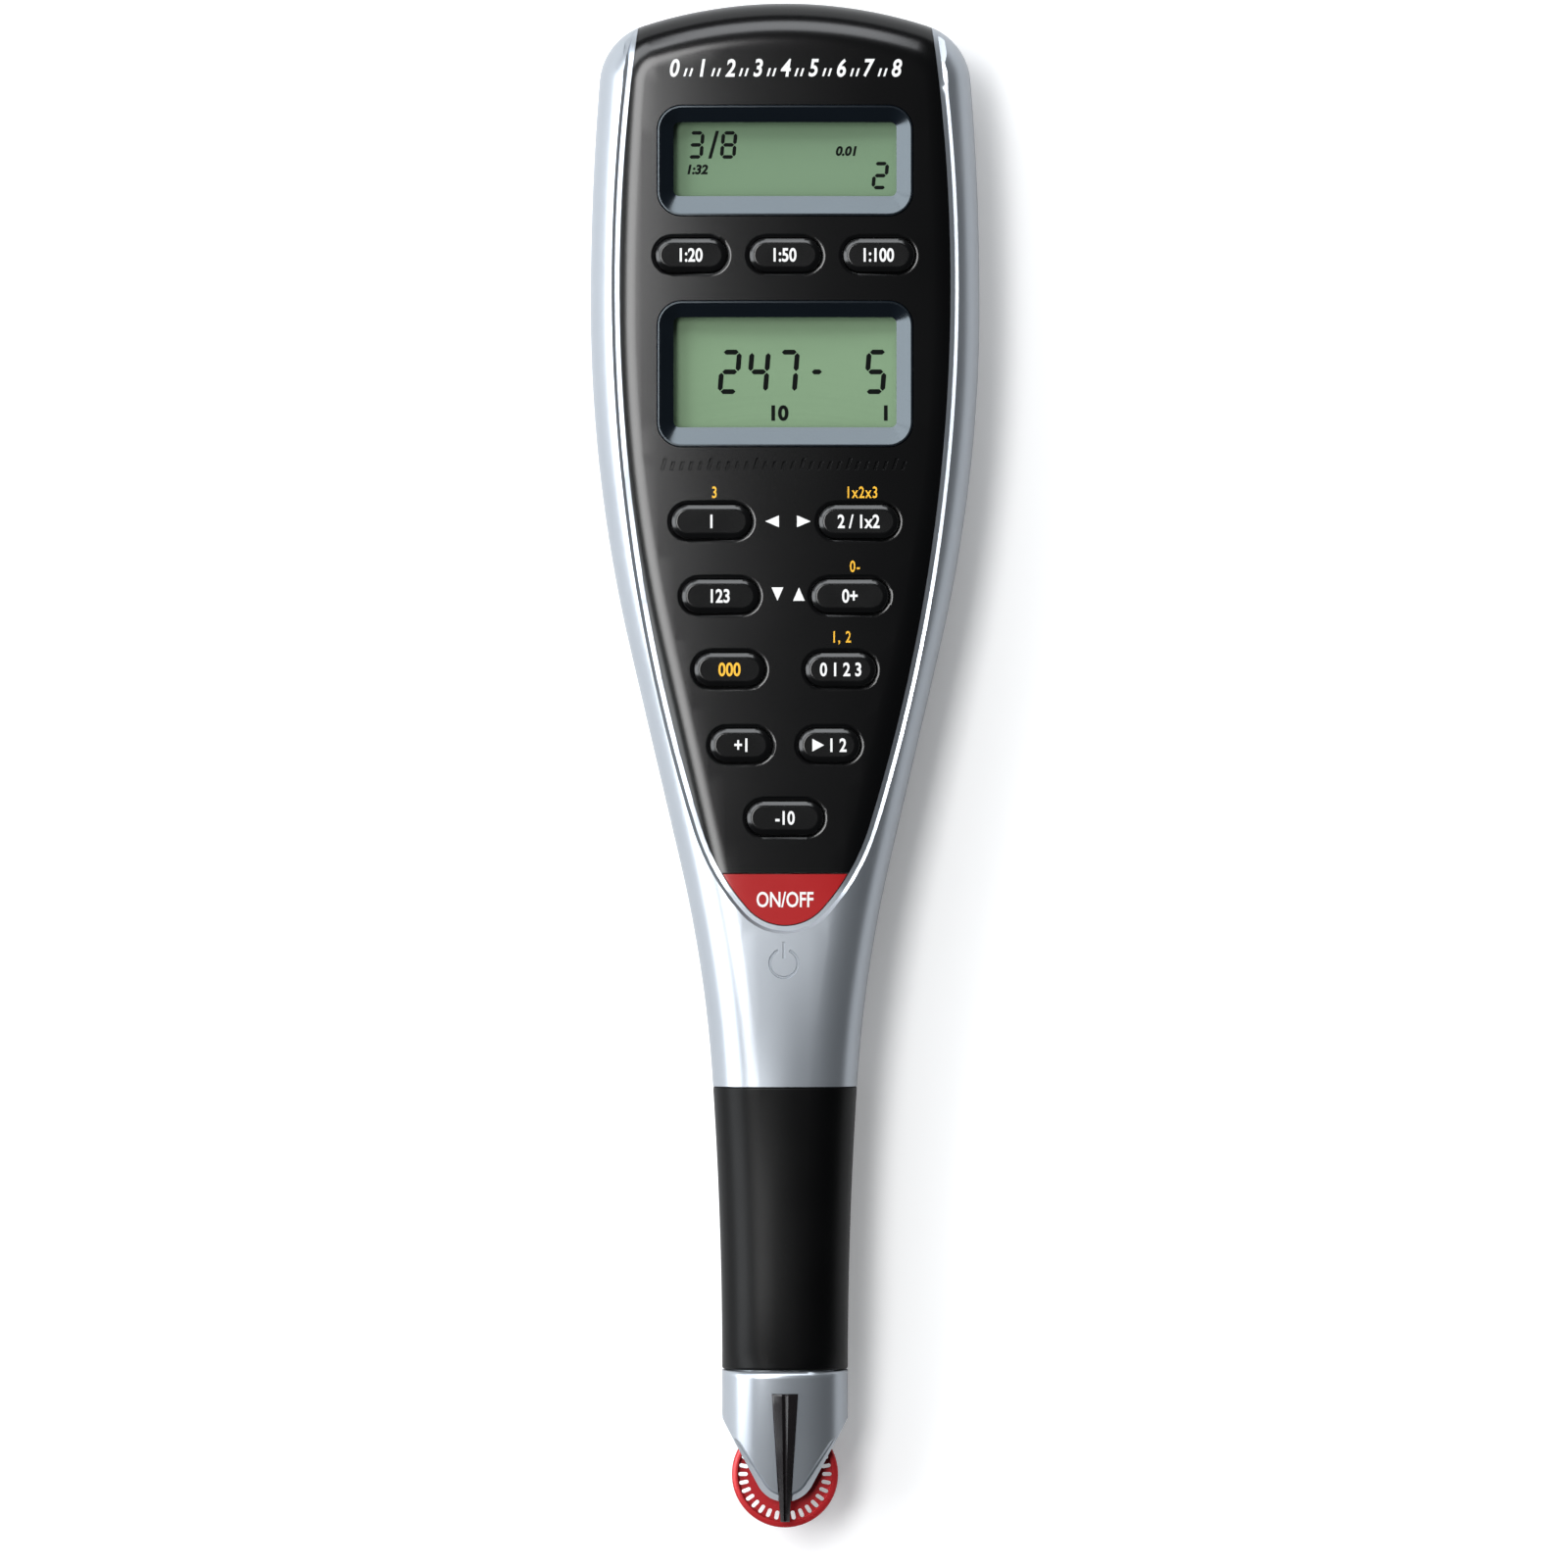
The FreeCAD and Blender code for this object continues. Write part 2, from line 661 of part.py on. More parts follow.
def bezel(name):
    """The sloping frame of a window, with the lens let into its underside."""
    place, half, view = WINDOWS[name]
    view_place = place + size("view_shift")
    foot = size("bezel_foot")
    lens_top = foot + size("lens_thickness")
    half_width = size("window_half_width")
    fit = size("plate_gap")
    wire = rounded_wire(half_width - fit, half - fit, size("window_corner"), place, foot)
    body = prism_of(wire, CEILING - foot).common(border_skin)
    wall = size("bezel_wall")
    low = rounded_wire(size("view_half_width"), view, size("view_corner"), view_place, lens_top)
    high = rounded_wire(half_width - wall, half - wall, size("window_corner") - wall, place, HEAD_HEIGHT)
    margin = size("lens_margin") + GAP
    reach = size("view_half_width") + margin
    room = slab(view_place - view - margin, view_place + view + margin, foot - OVER, lens_top, reach)
    return body.cut([Part.makeLoft([low, high], True, True), room])


def dome(x, y, top):
    base = size("dome_radius")
    low = BOARD_TOP + size("mat_thickness")
    return Part.makeCone(base, size("dome_head_radius"), top - low, Vector(x, y, low))


def flange_top(row, side):
    """Height at which the key's flange meets the inside of the face wall."""
    x = size(row + "_row_spread") if side else 0.0
    reach = x + 0.5 * size(row + "_row_length") + size("flange_reach")
    return HEAD_HEIGHT - HEAD_CROWN * reach**2 - size("face_wall") - GAP


def key_mat(rows, plan):
    """A silicone sheet with a dome under each key of the named rows."""
    mat = plan
    for row, side in KEYS.values():
        if row in rows:
            x = side * size(row + "_row_spread") if side else 0.0
            mat = mat.fuse(dome(x, size(row + "_row_place"), flange_top(row, side) - size("flange_thickness")))
    return mat


def upper_key_mat():
    place = size("first_row_place")
    margin = 0.5 * size("key_width") + size("mat_border")
    half = size("first_row_spread") + 0.5 * size("first_row_length")
    sheet_top = BOARD_TOP + size("mat_thickness")
    return key_mat(["first"], slab(place - margin, place + margin, BOARD_TOP, sheet_top, half))


def lower_key_mat():
    sheet_top = BOARD_TOP + size("mat_thickness")
    plan = prism(outline_face(size("mat_margin"), size("mat_margin")), BOARD_TOP, sheet_top)
    plan = plan.common(slab(size("mat_tip"), size("second_row_place") + size("mat_margin"), 0, CEILING))
    boss_room = size("screw_radius") + size("boss_wall") + size("board_gap")
    plan = plan.cut([cylinder(boss_room, x, y, 0, CEILING) for x, y in CASE_SCREWS])
    mat = key_mat(["second", "third", "fourth", "fifth", "sixth"], plan)
    return mat.fuse(dome(0, size("power_dome_place"), POWER_FLANGE_TOP - size("flange_thickness")))


def main_board():
    gap = size("board_gap")
    board = prism(outline_face(size("side_wall") + gap, size("end_wall") + gap), BOARD_LOW, BOARD_TOP)
    board = board.common(slab(size("board_end"), TOP, 0, CEILING))
    return board.cut([cylinder(size("screw_radius") + size("shank_gap"), x, y, 0, CEILING) for x, y in CASE_SCREWS])


def grip_sleeve():
    band = slab(GRIP_END, GRIP_TOP, -OVER, CEILING)
    return front_skin.common(rear_skin).common(band).cut(front_tube.common(rear_tube))


def battery_door():
    door = door_shape(size("door_half_width"), size("door_front"), size("door_recess"), 0.0).common(rear_skin)
    grooves = []
    for number in range(5):
        y = size("door_front") + size("door_groove_start") + number * size("door_groove_pitch")
        depth = size("door_recess") + size("door_groove_depth")
        grooves.append(slab(y, y + size("door_groove_width"), -OVER, depth, 0.5 * size("door_half_width")))
    return door.cut(grooves)


def nose_plan(inset):
    """The tapered outline of the nose; the inset draws in its round tip and leaves its corners."""
    radius = size("nose_tip_radius") - inset
    centre = Vector(0, size("nose_tip_place"), 0)
    corner = Vector(size("grip_half_width"), size("nose_corner"), 0)
    reach = corner - centre
    turn = towards(centre, corner) - math.acos(radius / reach.Length)
    touch = centre + ray(turn) * radius
    shoulder = Vector(corner.x + size("nose_flare_width"), corner.y + size("nose_flare_length"), 0)
    far = Vector(shoulder.x, GRIP_END + OVER, 0)
    right = [arc(centre, radius, -math.pi / 2, turn), line(touch, corner), line(corner, shoulder), line(shoulder, far)]
    return right, [line(far, Vector(-far.x, far.y, 0))]


def nose_wire(inset, z):
    right, closing = nose_plan(inset)
    wire = mirrored_face(right, closing).OuterWire.copy()
    wire.translate(Vector(0, 0, z))
    return wire


def nose_loft(insets, heights):
    return Part.makeLoft([nose_wire(inset, height) for inset, height in zip(insets, heights)], True, True)


def nose_block(up):
    """The tapered block of the nose on one side of the parting: a ledge along its front, a facet along its rear."""
    if up:
        inset = size("facet_width")
        inner = inset + size("facet_slope")
        low = PARTING + size("facet_low")
        high = PARTING + size("facet_high")
        ledge = nose_loft([0, 0], [PARTING, low])
        return ledge.fuse(nose_loft([inset, inset, inner, inner], [PARTING, low, high, CEILING]))
    inset = size("rear_facet_width")
    heights = [0, size("rear_facet_low"), size("rear_facet_high"), PARTING + OVER]
    return nose_loft([0, 0, inset, inset], [PARTING - height for height in heights])


def pointer_section(y, half, low, side_high, ridge_high):
    points = [Vector(-half, y, low), Vector(half, y, low), Vector(half, y, side_high)]
    ridge = size("pointer_ridge_share") * half
    points += [Vector(ridge, y, ridge_high), Vector(-ridge, y, ridge_high), Vector(-half, y, side_high)]
    return Part.makePolygon(points + points[:1])


def pointer_form(gap=0.0):
    """The pointer: a tapered bar that follows the nose down and then reaches out over the wheel."""
    start = size("pointer_start")
    end = size("pointer_end")
    end_low = size("pointer_tip_low")
    rise = size("pointer_rise")
    sections = []
    for place in (start, size("pointer_middle")):
        share = (start - place) / (start - end)
        half = 0.5 * ((1 - share) * size("pointer_start_width") + share * size("pointer_end_width")) + gap
        skin = front_height(0, place)
        high = skin + size("pointer_lift")
        reach = place + gap if place == start else place
        sections.append(pointer_section(reach, half, skin - size("pointer_sink") - gap, high, high + rise))
    end_high = end_low + size("pointer_tip_thickness")
    half = 0.5 * size("pointer_end_width") + gap
    sections.append(pointer_section(end, half, end_low - gap, end_high, end_high + 0.5 * rise))
    return Part.makeLoft(sections, True, True)


def nose_half(up):
    """One half of the nose: its tapered block and the tail that plugs into the grip tube."""
    skin, bore = (front_skin, front_bore) if up else (rear_skin, rear_bore)
    z_low, z_high = (PARTING, CEILING) if up else (-OVER, PARTING)
    tail_end = GRIP_END + size("tail_length")
    block = nose_block(up).common(skin).common(slab(BOTTOM_END, GRIP_END, z_low, z_high))
    tail = bore.common(slab(GRIP_END - GAP, tail_end, z_low, z_high))
    wheel_y = size("wheel_place")
    wheel_room = 0.5 * size("wheel_thickness") + size("wheel_gap")
    pin_room = 0.5 * size("pin_length")
    sensor_reach = wheel_room + size("sensor_arm") + GAP
    sensor_low = size("sensor_end") - size("sensor_gap")
    sensor_half = 0.5 * size("sensor_width") + GAP
    board_half = 0.5 * size("sensor_board_width") + GAP
    board_low = size("sensor_board_low") - size("cable_thickness") - GAP
    board_high = size("sensor_board_low") + size("sensor_board_thickness") + GAP
    room = [
        cylinder(size("wheel_radius") + size("wheel_rim_gap"), 0, wheel_y, PARTING - wheel_room, PARTING + wheel_room),
        cylinder(size("pin_radius"), 0, wheel_y, PARTING - pin_room, PARTING + pin_room),
        slab(sensor_low, size("sensor_start") + GAP, PARTING - sensor_reach, PARTING + sensor_reach, sensor_half),
        slab(size("sensor_start"), tail_end + OVER, board_low, board_high, board_half),
    ]
    for x, y in NOSE_SCREWS:
        pilot = size("nose_screw_radius") + size("thread_gap")
        room.append(cylinder(pilot, x, y, -OVER, size("nose_screw_end") + GAP))
        room.append(cylinder(size("nose_screw_head_radius") + GAP, x, y, -OVER, size("nose_screw_seat")))
    if up:
        room.append(pointer_form(size("plate_gap")))
    return block.fuse(tail).cut(room)


def screw(x, y, seat, end, radius, head_radius, head_thickness):
    """A pan-head screw driven upwards, with a cross recess in its head."""
    low = seat - head_thickness
    shank = cylinder(radius, x, y, seat, end - radius)
    point = Part.makeCone(radius, 0.3 * radius, radius, Vector(x, y, end - radius))
    head = cylinder(head_radius, x, y, low, seat)
    rim = [edge for edge in head.Edges if edge.BoundBox.ZMax < low + 0.01 * head_thickness]
    head = head.makeFillet(0.4 * head_thickness, rim)
    arm = 0.55 * head_radius
    half = 0.5 * size("recess_width")
    high = seat - 0.4 * head_thickness
    cross = [box(x - arm, x + arm, y - half, y + half, low, high), box(x - half, x + half, y - arm, y + arm, low, high)]
    return shank.fuse([point, head]).cut(cross)


def case_screws():
    radius = size("screw_radius")
    head = (size("screw_head_radius"), size("screw_head_thickness"))
    return Part.makeCompound([screw(x, y, size("screw_seat"), case_screw_end(x, y), radius, *head) for x, y in CASE_SCREWS])


def nose_screws():
    radius = size("nose_screw_radius")
    head = (size("nose_screw_head_radius"), size("nose_screw_head_thickness"))
    ends = (size("nose_screw_seat"), size("nose_screw_end"))
    return Part.makeCompound([screw(x, y, *ends, radius, *head) for x, y in NOSE_SCREWS])


POWER_FLANGE_TOP = front_height(0, size("power_key_edge")) - size("face_wall") - GAP


# Pieces bound to the sheet by expressions
def keep(label, item):
    item.Label = label
    NODES[label] = item
    return item


def part_box(name, low, extent):
    """A Part box: the expressions of its low corner and of its sizes along X, Y and Z."""
    item = doc.addObject("Part::Box", name)
    for axis, text in zip("xyz", low):
        item.setExpression("Placement.Base." + axis, tied(text))
    for side, text in zip(("Length", "Width", "Height"), extent):
        item.setExpression(side, tied(text))
    return item


def part_cylinder(name, low, radius, height):
    item = doc.addObject("Part::Cylinder", name)
    for axis, text in zip("xyz", low):
        item.setExpression("Placement.Base." + axis, tied(text))
    item.setExpression("Radius", tied(radius))
    item.setExpression("Height", tied(height))
    return item


def part_cut(name, base, tool):
    item = doc.addObject("Part::Cut", name)
    item.Base = base
    item.Tool = tool
    return item


def part_fuse(name, shapes):
    item = doc.addObject("Part::MultiFuse", name)
    item.Shapes = shapes
    return item


def sketch_on(body, name, offset):
    """A sketch parallel to the body's XY plane; the offset is three expressions."""
    item = body.newObject("Sketcher::SketchObject", name)
    plane = [origin for origin in body.Origin.OriginFeatures if origin.Role == "XY_Plane"][0]
    item.AttachmentSupport = [(plane, "")]
    item.MapMode = "FlatFace"
    for axis, text in zip("xyz", offset):
        item.setExpression("AttachmentOffset.Base." + axis, tied(text))
    return item


def constrain(sketch, kind, *where):
    return sketch.addConstraint(Sketcher.Constraint(kind, *where))


def draw_rectangle(sketch, width, height):
    corners = [Vector(-2, -1, 0), Vector(2, -1, 0), Vector(2, 1, 0), Vector(-2, 1, 0)]
    for number in range(4):
        sketch.addGeometry(Part.LineSegment(corners[number], corners[(number + 1) % 4]))
    for number in range(4):
        constrain(sketch, "Coincident", number, 2, (number + 1) % 4, 1)
        constrain(sketch, "Horizontal" if number % 2 == 0 else "Vertical", number)
    constrain(sketch, "Symmetric", 0, 1, 1, 2, -1, 1)
    wide = constrain(sketch, "DistanceX", 0, 1, 0, 2, 4.0)
    tall = constrain(sketch, "DistanceY", 1, 1, 1, 2, 2.0)
    sketch.setExpression("Constraints[%d]" % wide, tied(width))
    sketch.setExpression("Constraints[%d]" % tall, tied(height))


def draw_slot(sketch, start, length, width):
    """A rectangle along the sketch's X axis that starts at a distance from its origin."""
    corners = [Vector(4, -1, 0), Vector(6, -1, 0), Vector(6, 1, 0), Vector(4, 1, 0)]
    for number in range(4):
        sketch.addGeometry(Part.LineSegment(corners[number], corners[(number + 1) % 4]))
    for number in range(4):
        constrain(sketch, "Coincident", number, 2, (number + 1) % 4, 1)
    for number, direction in ((0, "Horizontal"), (2, "Horizontal"), (3, "Vertical")):
        constrain(sketch, direction, number)
    constrain(sketch, "Symmetric", 1, 1, 1, 2, -1)
    first = constrain(sketch, "DistanceX", -1, 1, 0, 1, 4.0)
    along = constrain(sketch, "DistanceX", 0, 1, 0, 2, 2.0)
    across = constrain(sketch, "DistanceY", 1, 1, 1, 2, 2.0)
    for number, text in ((first, start), (along, length), (across, width)):
        sketch.setExpression("Constraints[%d]" % number, tied(text))


def draw_circle(sketch, radius):
    sketch.addGeometry(Part.Circle(Vector(0, 0, 0), Vector(0, 0, 1), 1.0))
    constrain(sketch, "Coincident", 0, 3, -1, 1)
    round_size = constrain(sketch, "Radius", 0, 1.0)
    sketch.setExpression("Constraints[%d]" % round_size, tied(radius))


def draw_pill(sketch, length, width):
    """A slot outline: two half circles joined by straight lines."""
    half_circles = [(Vector(2, 0, 0), -0.5 * math.pi), (Vector(-2, 0, 0), 0.5 * math.pi)]
    for centre, start in half_circles:
        circle = Part.Circle(centre, Vector(0, 0, 1), 1.0)
        sketch.addGeometry(Part.ArcOfCircle(circle, start, start + math.pi))
    sketch.addGeometry(Part.LineSegment(Vector(2, 1, 0), Vector(-2, 1, 0)))
    sketch.addGeometry(Part.LineSegment(Vector(-2, -1, 0), Vector(2, -1, 0)))
    constrain(sketch, "Tangent", 0, 2, 2, 1)
    constrain(sketch, "Tangent", 2, 2, 1, 1)
    constrain(sketch, "Tangent", 1, 2, 3, 1)
    constrain(sketch, "Tangent", 3, 2, 0, 1)
    constrain(sketch, "Symmetric", 0, 3, 1, 3, -1, 1)
    constrain(sketch, "Horizontal", 2)
    constrain(sketch, "Equal", 0, 1)
    reach = constrain(sketch, "DistanceX", 1, 3, 0, 3, 4.0)
    bend = constrain(sketch, "Radius", 0, 1.0)
    sketch.setExpression("Constraints[%d]" % reach, tied("(%s) - (%s)" % (length, width)))
    sketch.setExpression("Constraints[%d]" % bend, tied("0.5 * (%s)" % width))


def pad(body, profile, name, length):
    item = body.newObject("PartDesign::Pad", name)
    item.Profile = profile
    item.setExpression("Length", tied(length))
    return item


def pocket_through(body, profile, name):
    item = body.newObject("PartDesign::Pocket", name)
    item.Profile = profile
    item.Type = 1
    item.Midplane = True
    return item


def round_top(body, base, name, radius):
    """A fillet round the highest flat face of a feature."""
    doc.recompute()
    flat = [face for face in base.Shape.Faces if isinstance(face.Surface, Part.Plane)]
    top = max(flat, key=lambda face: face.CenterOfMass.z)
    number = [face.isSame(top) for face in base.Shape.Faces].index(True) + 1
    item = body.newObject("PartDesign::Fillet", name)
    item.Base = (base, ["Face%d" % number])
    item.setExpression("Radius", tied(radius))
    return item


def key(label, row, side):
    """A pill-shaped key: a flange under the face wall and a cap that stands out of the plate."""
    spread = "0" if side == 0 else "%d * %s_row_spread" % (side, row)
    reach = "(abs(%s) + 0.5 * %s_row_length + flange_reach)" % (spread, row)
    flange_high = "(head_height - %s^2 / (2 * crown_radius) - face_wall - fit_gap)" % reach
    cap_high = "(head_height - (%s)^2 / (2 * crown_radius) - border_step + key_rise)" % spread
    flange_low = "%s - flange_thickness" % flange_high
    place = row + "_row_place"
    body = doc.addObject("PartDesign::Body", label)
    flange_sketch = sketch_on(body, label + "_flange_outline", (spread, place, flange_low))
    draw_pill(flange_sketch, row + "_row_length + 2 * flange_reach", "key_width + 2 * flange_reach")
    pad(body, flange_sketch, label + "_flange", "flange_thickness")
    cap_sketch = sketch_on(body, label + "_cap_outline", (spread, place, flange_low))
    draw_pill(cap_sketch, row + "_row_length", "key_width")
    cap = pad(body, cap_sketch, label + "_cap", "%s - (%s)" % (cap_high, flange_low))
    round_top(body, cap, label + "_round", "key_round")
    return keep(label, body)


def plain_pad(label, offset, width, height, thickness):
    body = doc.addObject("PartDesign::Body", label)
    outline = sketch_on(body, label + "_outline", offset)
    draw_rectangle(outline, width, height)
    pad(body, outline, label + "_pad", thickness)
    return keep(label, body)


def display_parts(name):
    """The lens, the display glass, the frame round it and the contact strips under it."""
    place = "%s_window_place + view_shift" % name
    view = "%s_view_size" % name
    wide = "2 * view_half_width"
    glass_low = "bezel_foot - display_thickness"
    lens_size = (wide + " + 2 * lens_margin", view + " + 2 * lens_margin")
    glass_size = (wide + " + 2 * display_margin", view + " + 2 * display_margin")
    plain_pad(name + "_lens", ("0", place, "bezel_foot"), *lens_size, "lens_thickness")
    plain_pad(name + "_display", ("0", place, glass_low), *glass_size, "display_thickness")
    holder = doc.addObject("PartDesign::Body", name + "_display_holder")
    outer = sketch_on(holder, name + "_holder_outline", ("0", place, "board_top"))
    draw_rectangle(outer, glass_size[0] + " + 2 * holder_wall", glass_size[1] + " + 2 * holder_wall")
    pad(holder, outer, name + "_holder_frame", "bezel_foot - board_top")
    inner = sketch_on(holder, name + "_holder_opening", ("0", place, "board_top"))
    draw_rectangle(inner, glass_size[0] + " + fit_gap", glass_size[1] + " + fit_gap")
    pocket_through(holder, inner, name + "_holder_room")
    keep(name + "_display_holder", holder)
    strip_low = "%s - 0.5 * %s - display_margin" % (place, view)
    strip_high = "%s + 0.5 * %s + display_margin - strip_width" % (place, view)
    strips = []
    for end, low in (("low", strip_low), ("high", strip_high)):
        corner = ("-view_half_width", low, "board_top")
        strips.append(part_box("%s_strip_%s" % (name, end), corner, (wide, "strip_width", glass_low + " - board_top")))
    keep(name + "_contact_strips", part_fuse(name + "_strips", strips))


def chamfer_rims(body, base, name, amount):
    """A chamfer along the circular edges of a feature."""
    doc.recompute()
    edges = enumerate(base.Shape.Edges, 1)
    rims = ["Edge%d" % number for number, edge in edges if isinstance(edge.Curve, Part.Circle)]
    item = body.newObject("PartDesign::Chamfer", name)
    item.Base = (base, rims)
    item.setExpression("Size", tied(amount))
    return item


def turned_disc(label, place, radius, thickness):
    body = doc.addObject("PartDesign::Body", label)
    outline = sketch_on(body, label + "_outline", place)
    draw_circle(outline, radius)
    disc = pad(body, outline, label + "_disc", thickness)
    return body, disc


def through_hole(body, label, place, radius):
    outline = sketch_on(body, label + "_outline", place)
    draw_circle(outline, radius)
    return pocket_through(body, outline, label)


def measuring_wheel():
    """A disc with a thin web between hub and rim, pierced by a ring of radial slots that the sensor counts."""
    low = "parting_height - 0.5 * wheel_thickness"
    body, disc = turned_disc("measuring_wheel", ("0", "wheel_place", low), "wheel_radius", "wheel_thickness")
    chamfer_rims(body, disc, "wheel_edge", "wheel_chamfer")
    recess = "0.5 * (wheel_thickness - web_thickness)"
    for end, height in (("low", low), ("high", "parting_height + 0.5 * web_thickness")):
        hollow = sketch_on(body, "web_outline_" + end, ("0", "wheel_place", height))
        draw_circle(hollow, "wheel_radius - rim_width")
        hollow.addGeometry(Part.Circle(Vector(0, 0, 0), Vector(0, 0, 1), 0.5))
        constrain(hollow, "Coincident", 1, 3, -1, 1)
        hub = constrain(hollow, "Radius", 1, 0.5)
        hollow.setExpression("Constraints[%d]" % hub, tied("hub_radius"))
        cut = body.newObject("PartDesign::Pocket", "web_recess_" + end)
        cut.Profile = hollow
        cut.Reversed = True
        cut.setExpression("Length", tied(recess))
    through_hole(body, "hub_hole", ("0", "wheel_place", "parting_height"), "bush_radius")
    slot = sketch_on(body, "slot_outline", ("0", "wheel_place", "parting_height"))
    draw_slot(slot, "slot_inner_radius", "wheel_radius - rim_width - slot_inner_radius", "slot_width")
    slot_cut = pocket_through(body, slot, "slot")
    ring = body.newObject("PartDesign::PolarPattern", "slot_ring")
    ring.Originals = [slot_cut]
    ring.Axis = (slot, ["N_Axis"])
    ring.Angle = 360
    ring.setExpression("Occurrences", tied("slot_count"))
    body.Tip = ring
    return keep("measuring_wheel", body)


def wheel_bush():
    place = ("0", "wheel_place", "parting_height - 0.5 * wheel_thickness")
    body, _ = turned_disc("wheel_bush", place, "bush_radius", "wheel_thickness")
    through_hole(body, "bush_bore", place, "pin_radius + running_gap")
    return keep("wheel_bush", body)


def axle_pin():
    place = ("0", "wheel_place", "parting_height - 0.5 * pin_length")
    body, pin = turned_disc("axle_pin", place, "pin_radius", "pin_length")
    chamfer_rims(body, pin, "pin_ends", "pin_chamfer")
    return keep("axle_pin", body)


def coin_cell():
    body, can = turned_disc("coin_cell", ("0", "cell_place", "cell_low"), "cell_radius", "cell_thickness")
    chamfer_rims(body, can, "can_edge", "cell_chamfer")
    cap = sketch_on(body, "cap_outline", ("0", "cell_place", "cell_low + cell_thickness"))
    draw_circle(cap, "cell_radius - cell_rim")
    pad(body, cap, "negative_cap", "cell_cap_rise")
    return keep("coin_cell", body)


BOARD_LOW_TEXT = "(board_top - board_thickness)"
POCKET_TOP = "(cell_low + cell_thickness + cell_cap_rise + contact_thickness + plate_gap)"
POCKET_RADIUS = "cell_radius + cell_gap"


def battery_parts():
    low = ("-0.5 * holder_size", "cell_place - 0.5 * holder_size", "face_wall")
    block = part_box("holder_block", low, ("holder_size", "holder_size", BOARD_LOW_TEXT + " - face_wall"))
    pocket = part_cylinder("cell_pocket", ("0", "cell_place", "face_wall"), POCKET_RADIUS, POCKET_TOP + " - face_wall")
    keep("battery_holder", part_cut("holder", block, pocket))
    leaf_low = ("-0.5 * leaf_width", "cell_place - 0.5 * leaf_length", POCKET_TOP + " - contact_thickness")
    keep("battery_leaf_contact", part_box("leaf", leaf_low, ("leaf_width", "leaf_length", "contact_thickness")))
    side_low = ("cell_radius + running_gap", "cell_place - 0.5 * clip_width", "face_wall + fit_gap")
    side_size = ("contact_thickness", "clip_width", POCKET_TOP + " - face_wall - 2 * fit_gap")
    keep("battery_side_contact", part_box("side_clip", side_low, side_size))


def turned_to_y(item):
    """Lays a cylinder along Y."""
    item.Placement = FreeCAD.Placement(Vector(0, 0, 0), FreeCAD.Rotation(Vector(1, 0, 0), -90))
    return item


def cylinder_along_y(name, low, radius, length):
    item = turned_to_y(doc.addObject("Part::Cylinder", name))
    for axis, text in zip("xyz", low):
        item.setExpression("Placement.Base." + axis, tied(text))
    item.setExpression("Radius", tied(radius))
    item.setExpression("Height", tied(length))
    return item


def computer_jack():
    mouth = "(top_end - jack_setback)"
    low = ("-0.5 * jack_width", "jack_place - jack_length", "face_wall")
    block = part_box("jack_block", low, ("jack_width", "jack_length", BOARD_LOW_TEXT + " - face_wall"))
    start = "jack_place - 0.5 * jack_length"
    reach = "%s - (%s)" % (mouth, start)
    barrel = cylinder_along_y("jack_barrel_tube", ("0", start, "jack_height"), "jack_barrel", reach)
    deep = ("0", mouth + " - jack_depth", "jack_height")
    bore = cylinder_along_y("jack_hole", deep, "jack_bore", "jack_depth + jack_setback")
    keep("computer_jack", part_cut("jack", part_fuse("jack_body", [block, barrel]), bore))


def board_parts():
    """What is soldered to the underside of the main board."""
    def under_board(label, x, y, width, length, height):
        low = ("%s - 0.5 * (%s)" % (x, width), "%s - 0.5 * (%s)" % (y, length), BOARD_LOW_TEXT + " - " + height)
        return part_box(label, low, (width, length, height))

    keep("processor", under_board("processor", "0", "processor_place", "processor_size", "processor_size", "processor_height"))
    crystal_low = ("processor_size", "processor_place - 0.5 * crystal_length", BOARD_LOW_TEXT + " - crystal_radius")
    keep("clock_crystal", cylinder_along_y("clock_crystal", crystal_low, "crystal_radius", "crystal_length"))
    chips = []
    for number in range(5):
        y = "processor_place - processor_size - %d * chip_pitch" % number
        for side in (-1, 1):
            x = "%d * chip_pitch" % side
            chips.append(under_board("chip_%d_%d" % (number, side + 1), x, y, "chip_width", "chip_length", "chip_height"))
    keep("capacitors", part_fuse("capacitor_row", chips))
    connector = ("-0.5 * cable_width - 1", "board_end", BOARD_LOW_TEXT + " - connector_height")
    keep("cable_connector", part_box("connector", connector, ("cable_width + 2", "connector_length", "connector_height")))


def sensor_parts():
    reach = "(0.5 * wheel_thickness + wheel_gap + sensor_arm)"
    low = ("-0.5 * sensor_width", "sensor_end", "parting_height - %s" % reach)
    block = part_box("sensor_block", low, ("sensor_width", "sensor_start - sensor_end", "2 * %s" % reach))
    slot_low = ("-sensor_width", "sensor_end - 1", "parting_height - 0.5 * wheel_thickness - wheel_gap")
    slot_length = "wheel_place + wheel_radius + wheel_gap - sensor_end + 1"
    slot = part_box("sensor_slot", slot_low, ("2 * sensor_width", slot_length, "wheel_thickness + 2 * wheel_gap"))
    keep("optical_sensor", part_cut("sensor", block, slot))
    board_low = ("-0.5 * sensor_board_width", "sensor_start", "sensor_board_low")
    board_size = ("sensor_board_width", "sensor_board_length", "sensor_board_thickness")
    keep("sensor_board", part_box("sensor_base", board_low, board_size))
    cable_low = ("-0.5 * cable_width", "sensor_start + 0.5 * sensor_board_length", "sensor_board_low - cable_thickness")
    cable_size = ("cable_width", "board_end - sensor_start - 0.5 * sensor_board_length", "cable_thickness")
    keep("flat_cable", part_box("cable_strip", cable_low, cable_size))


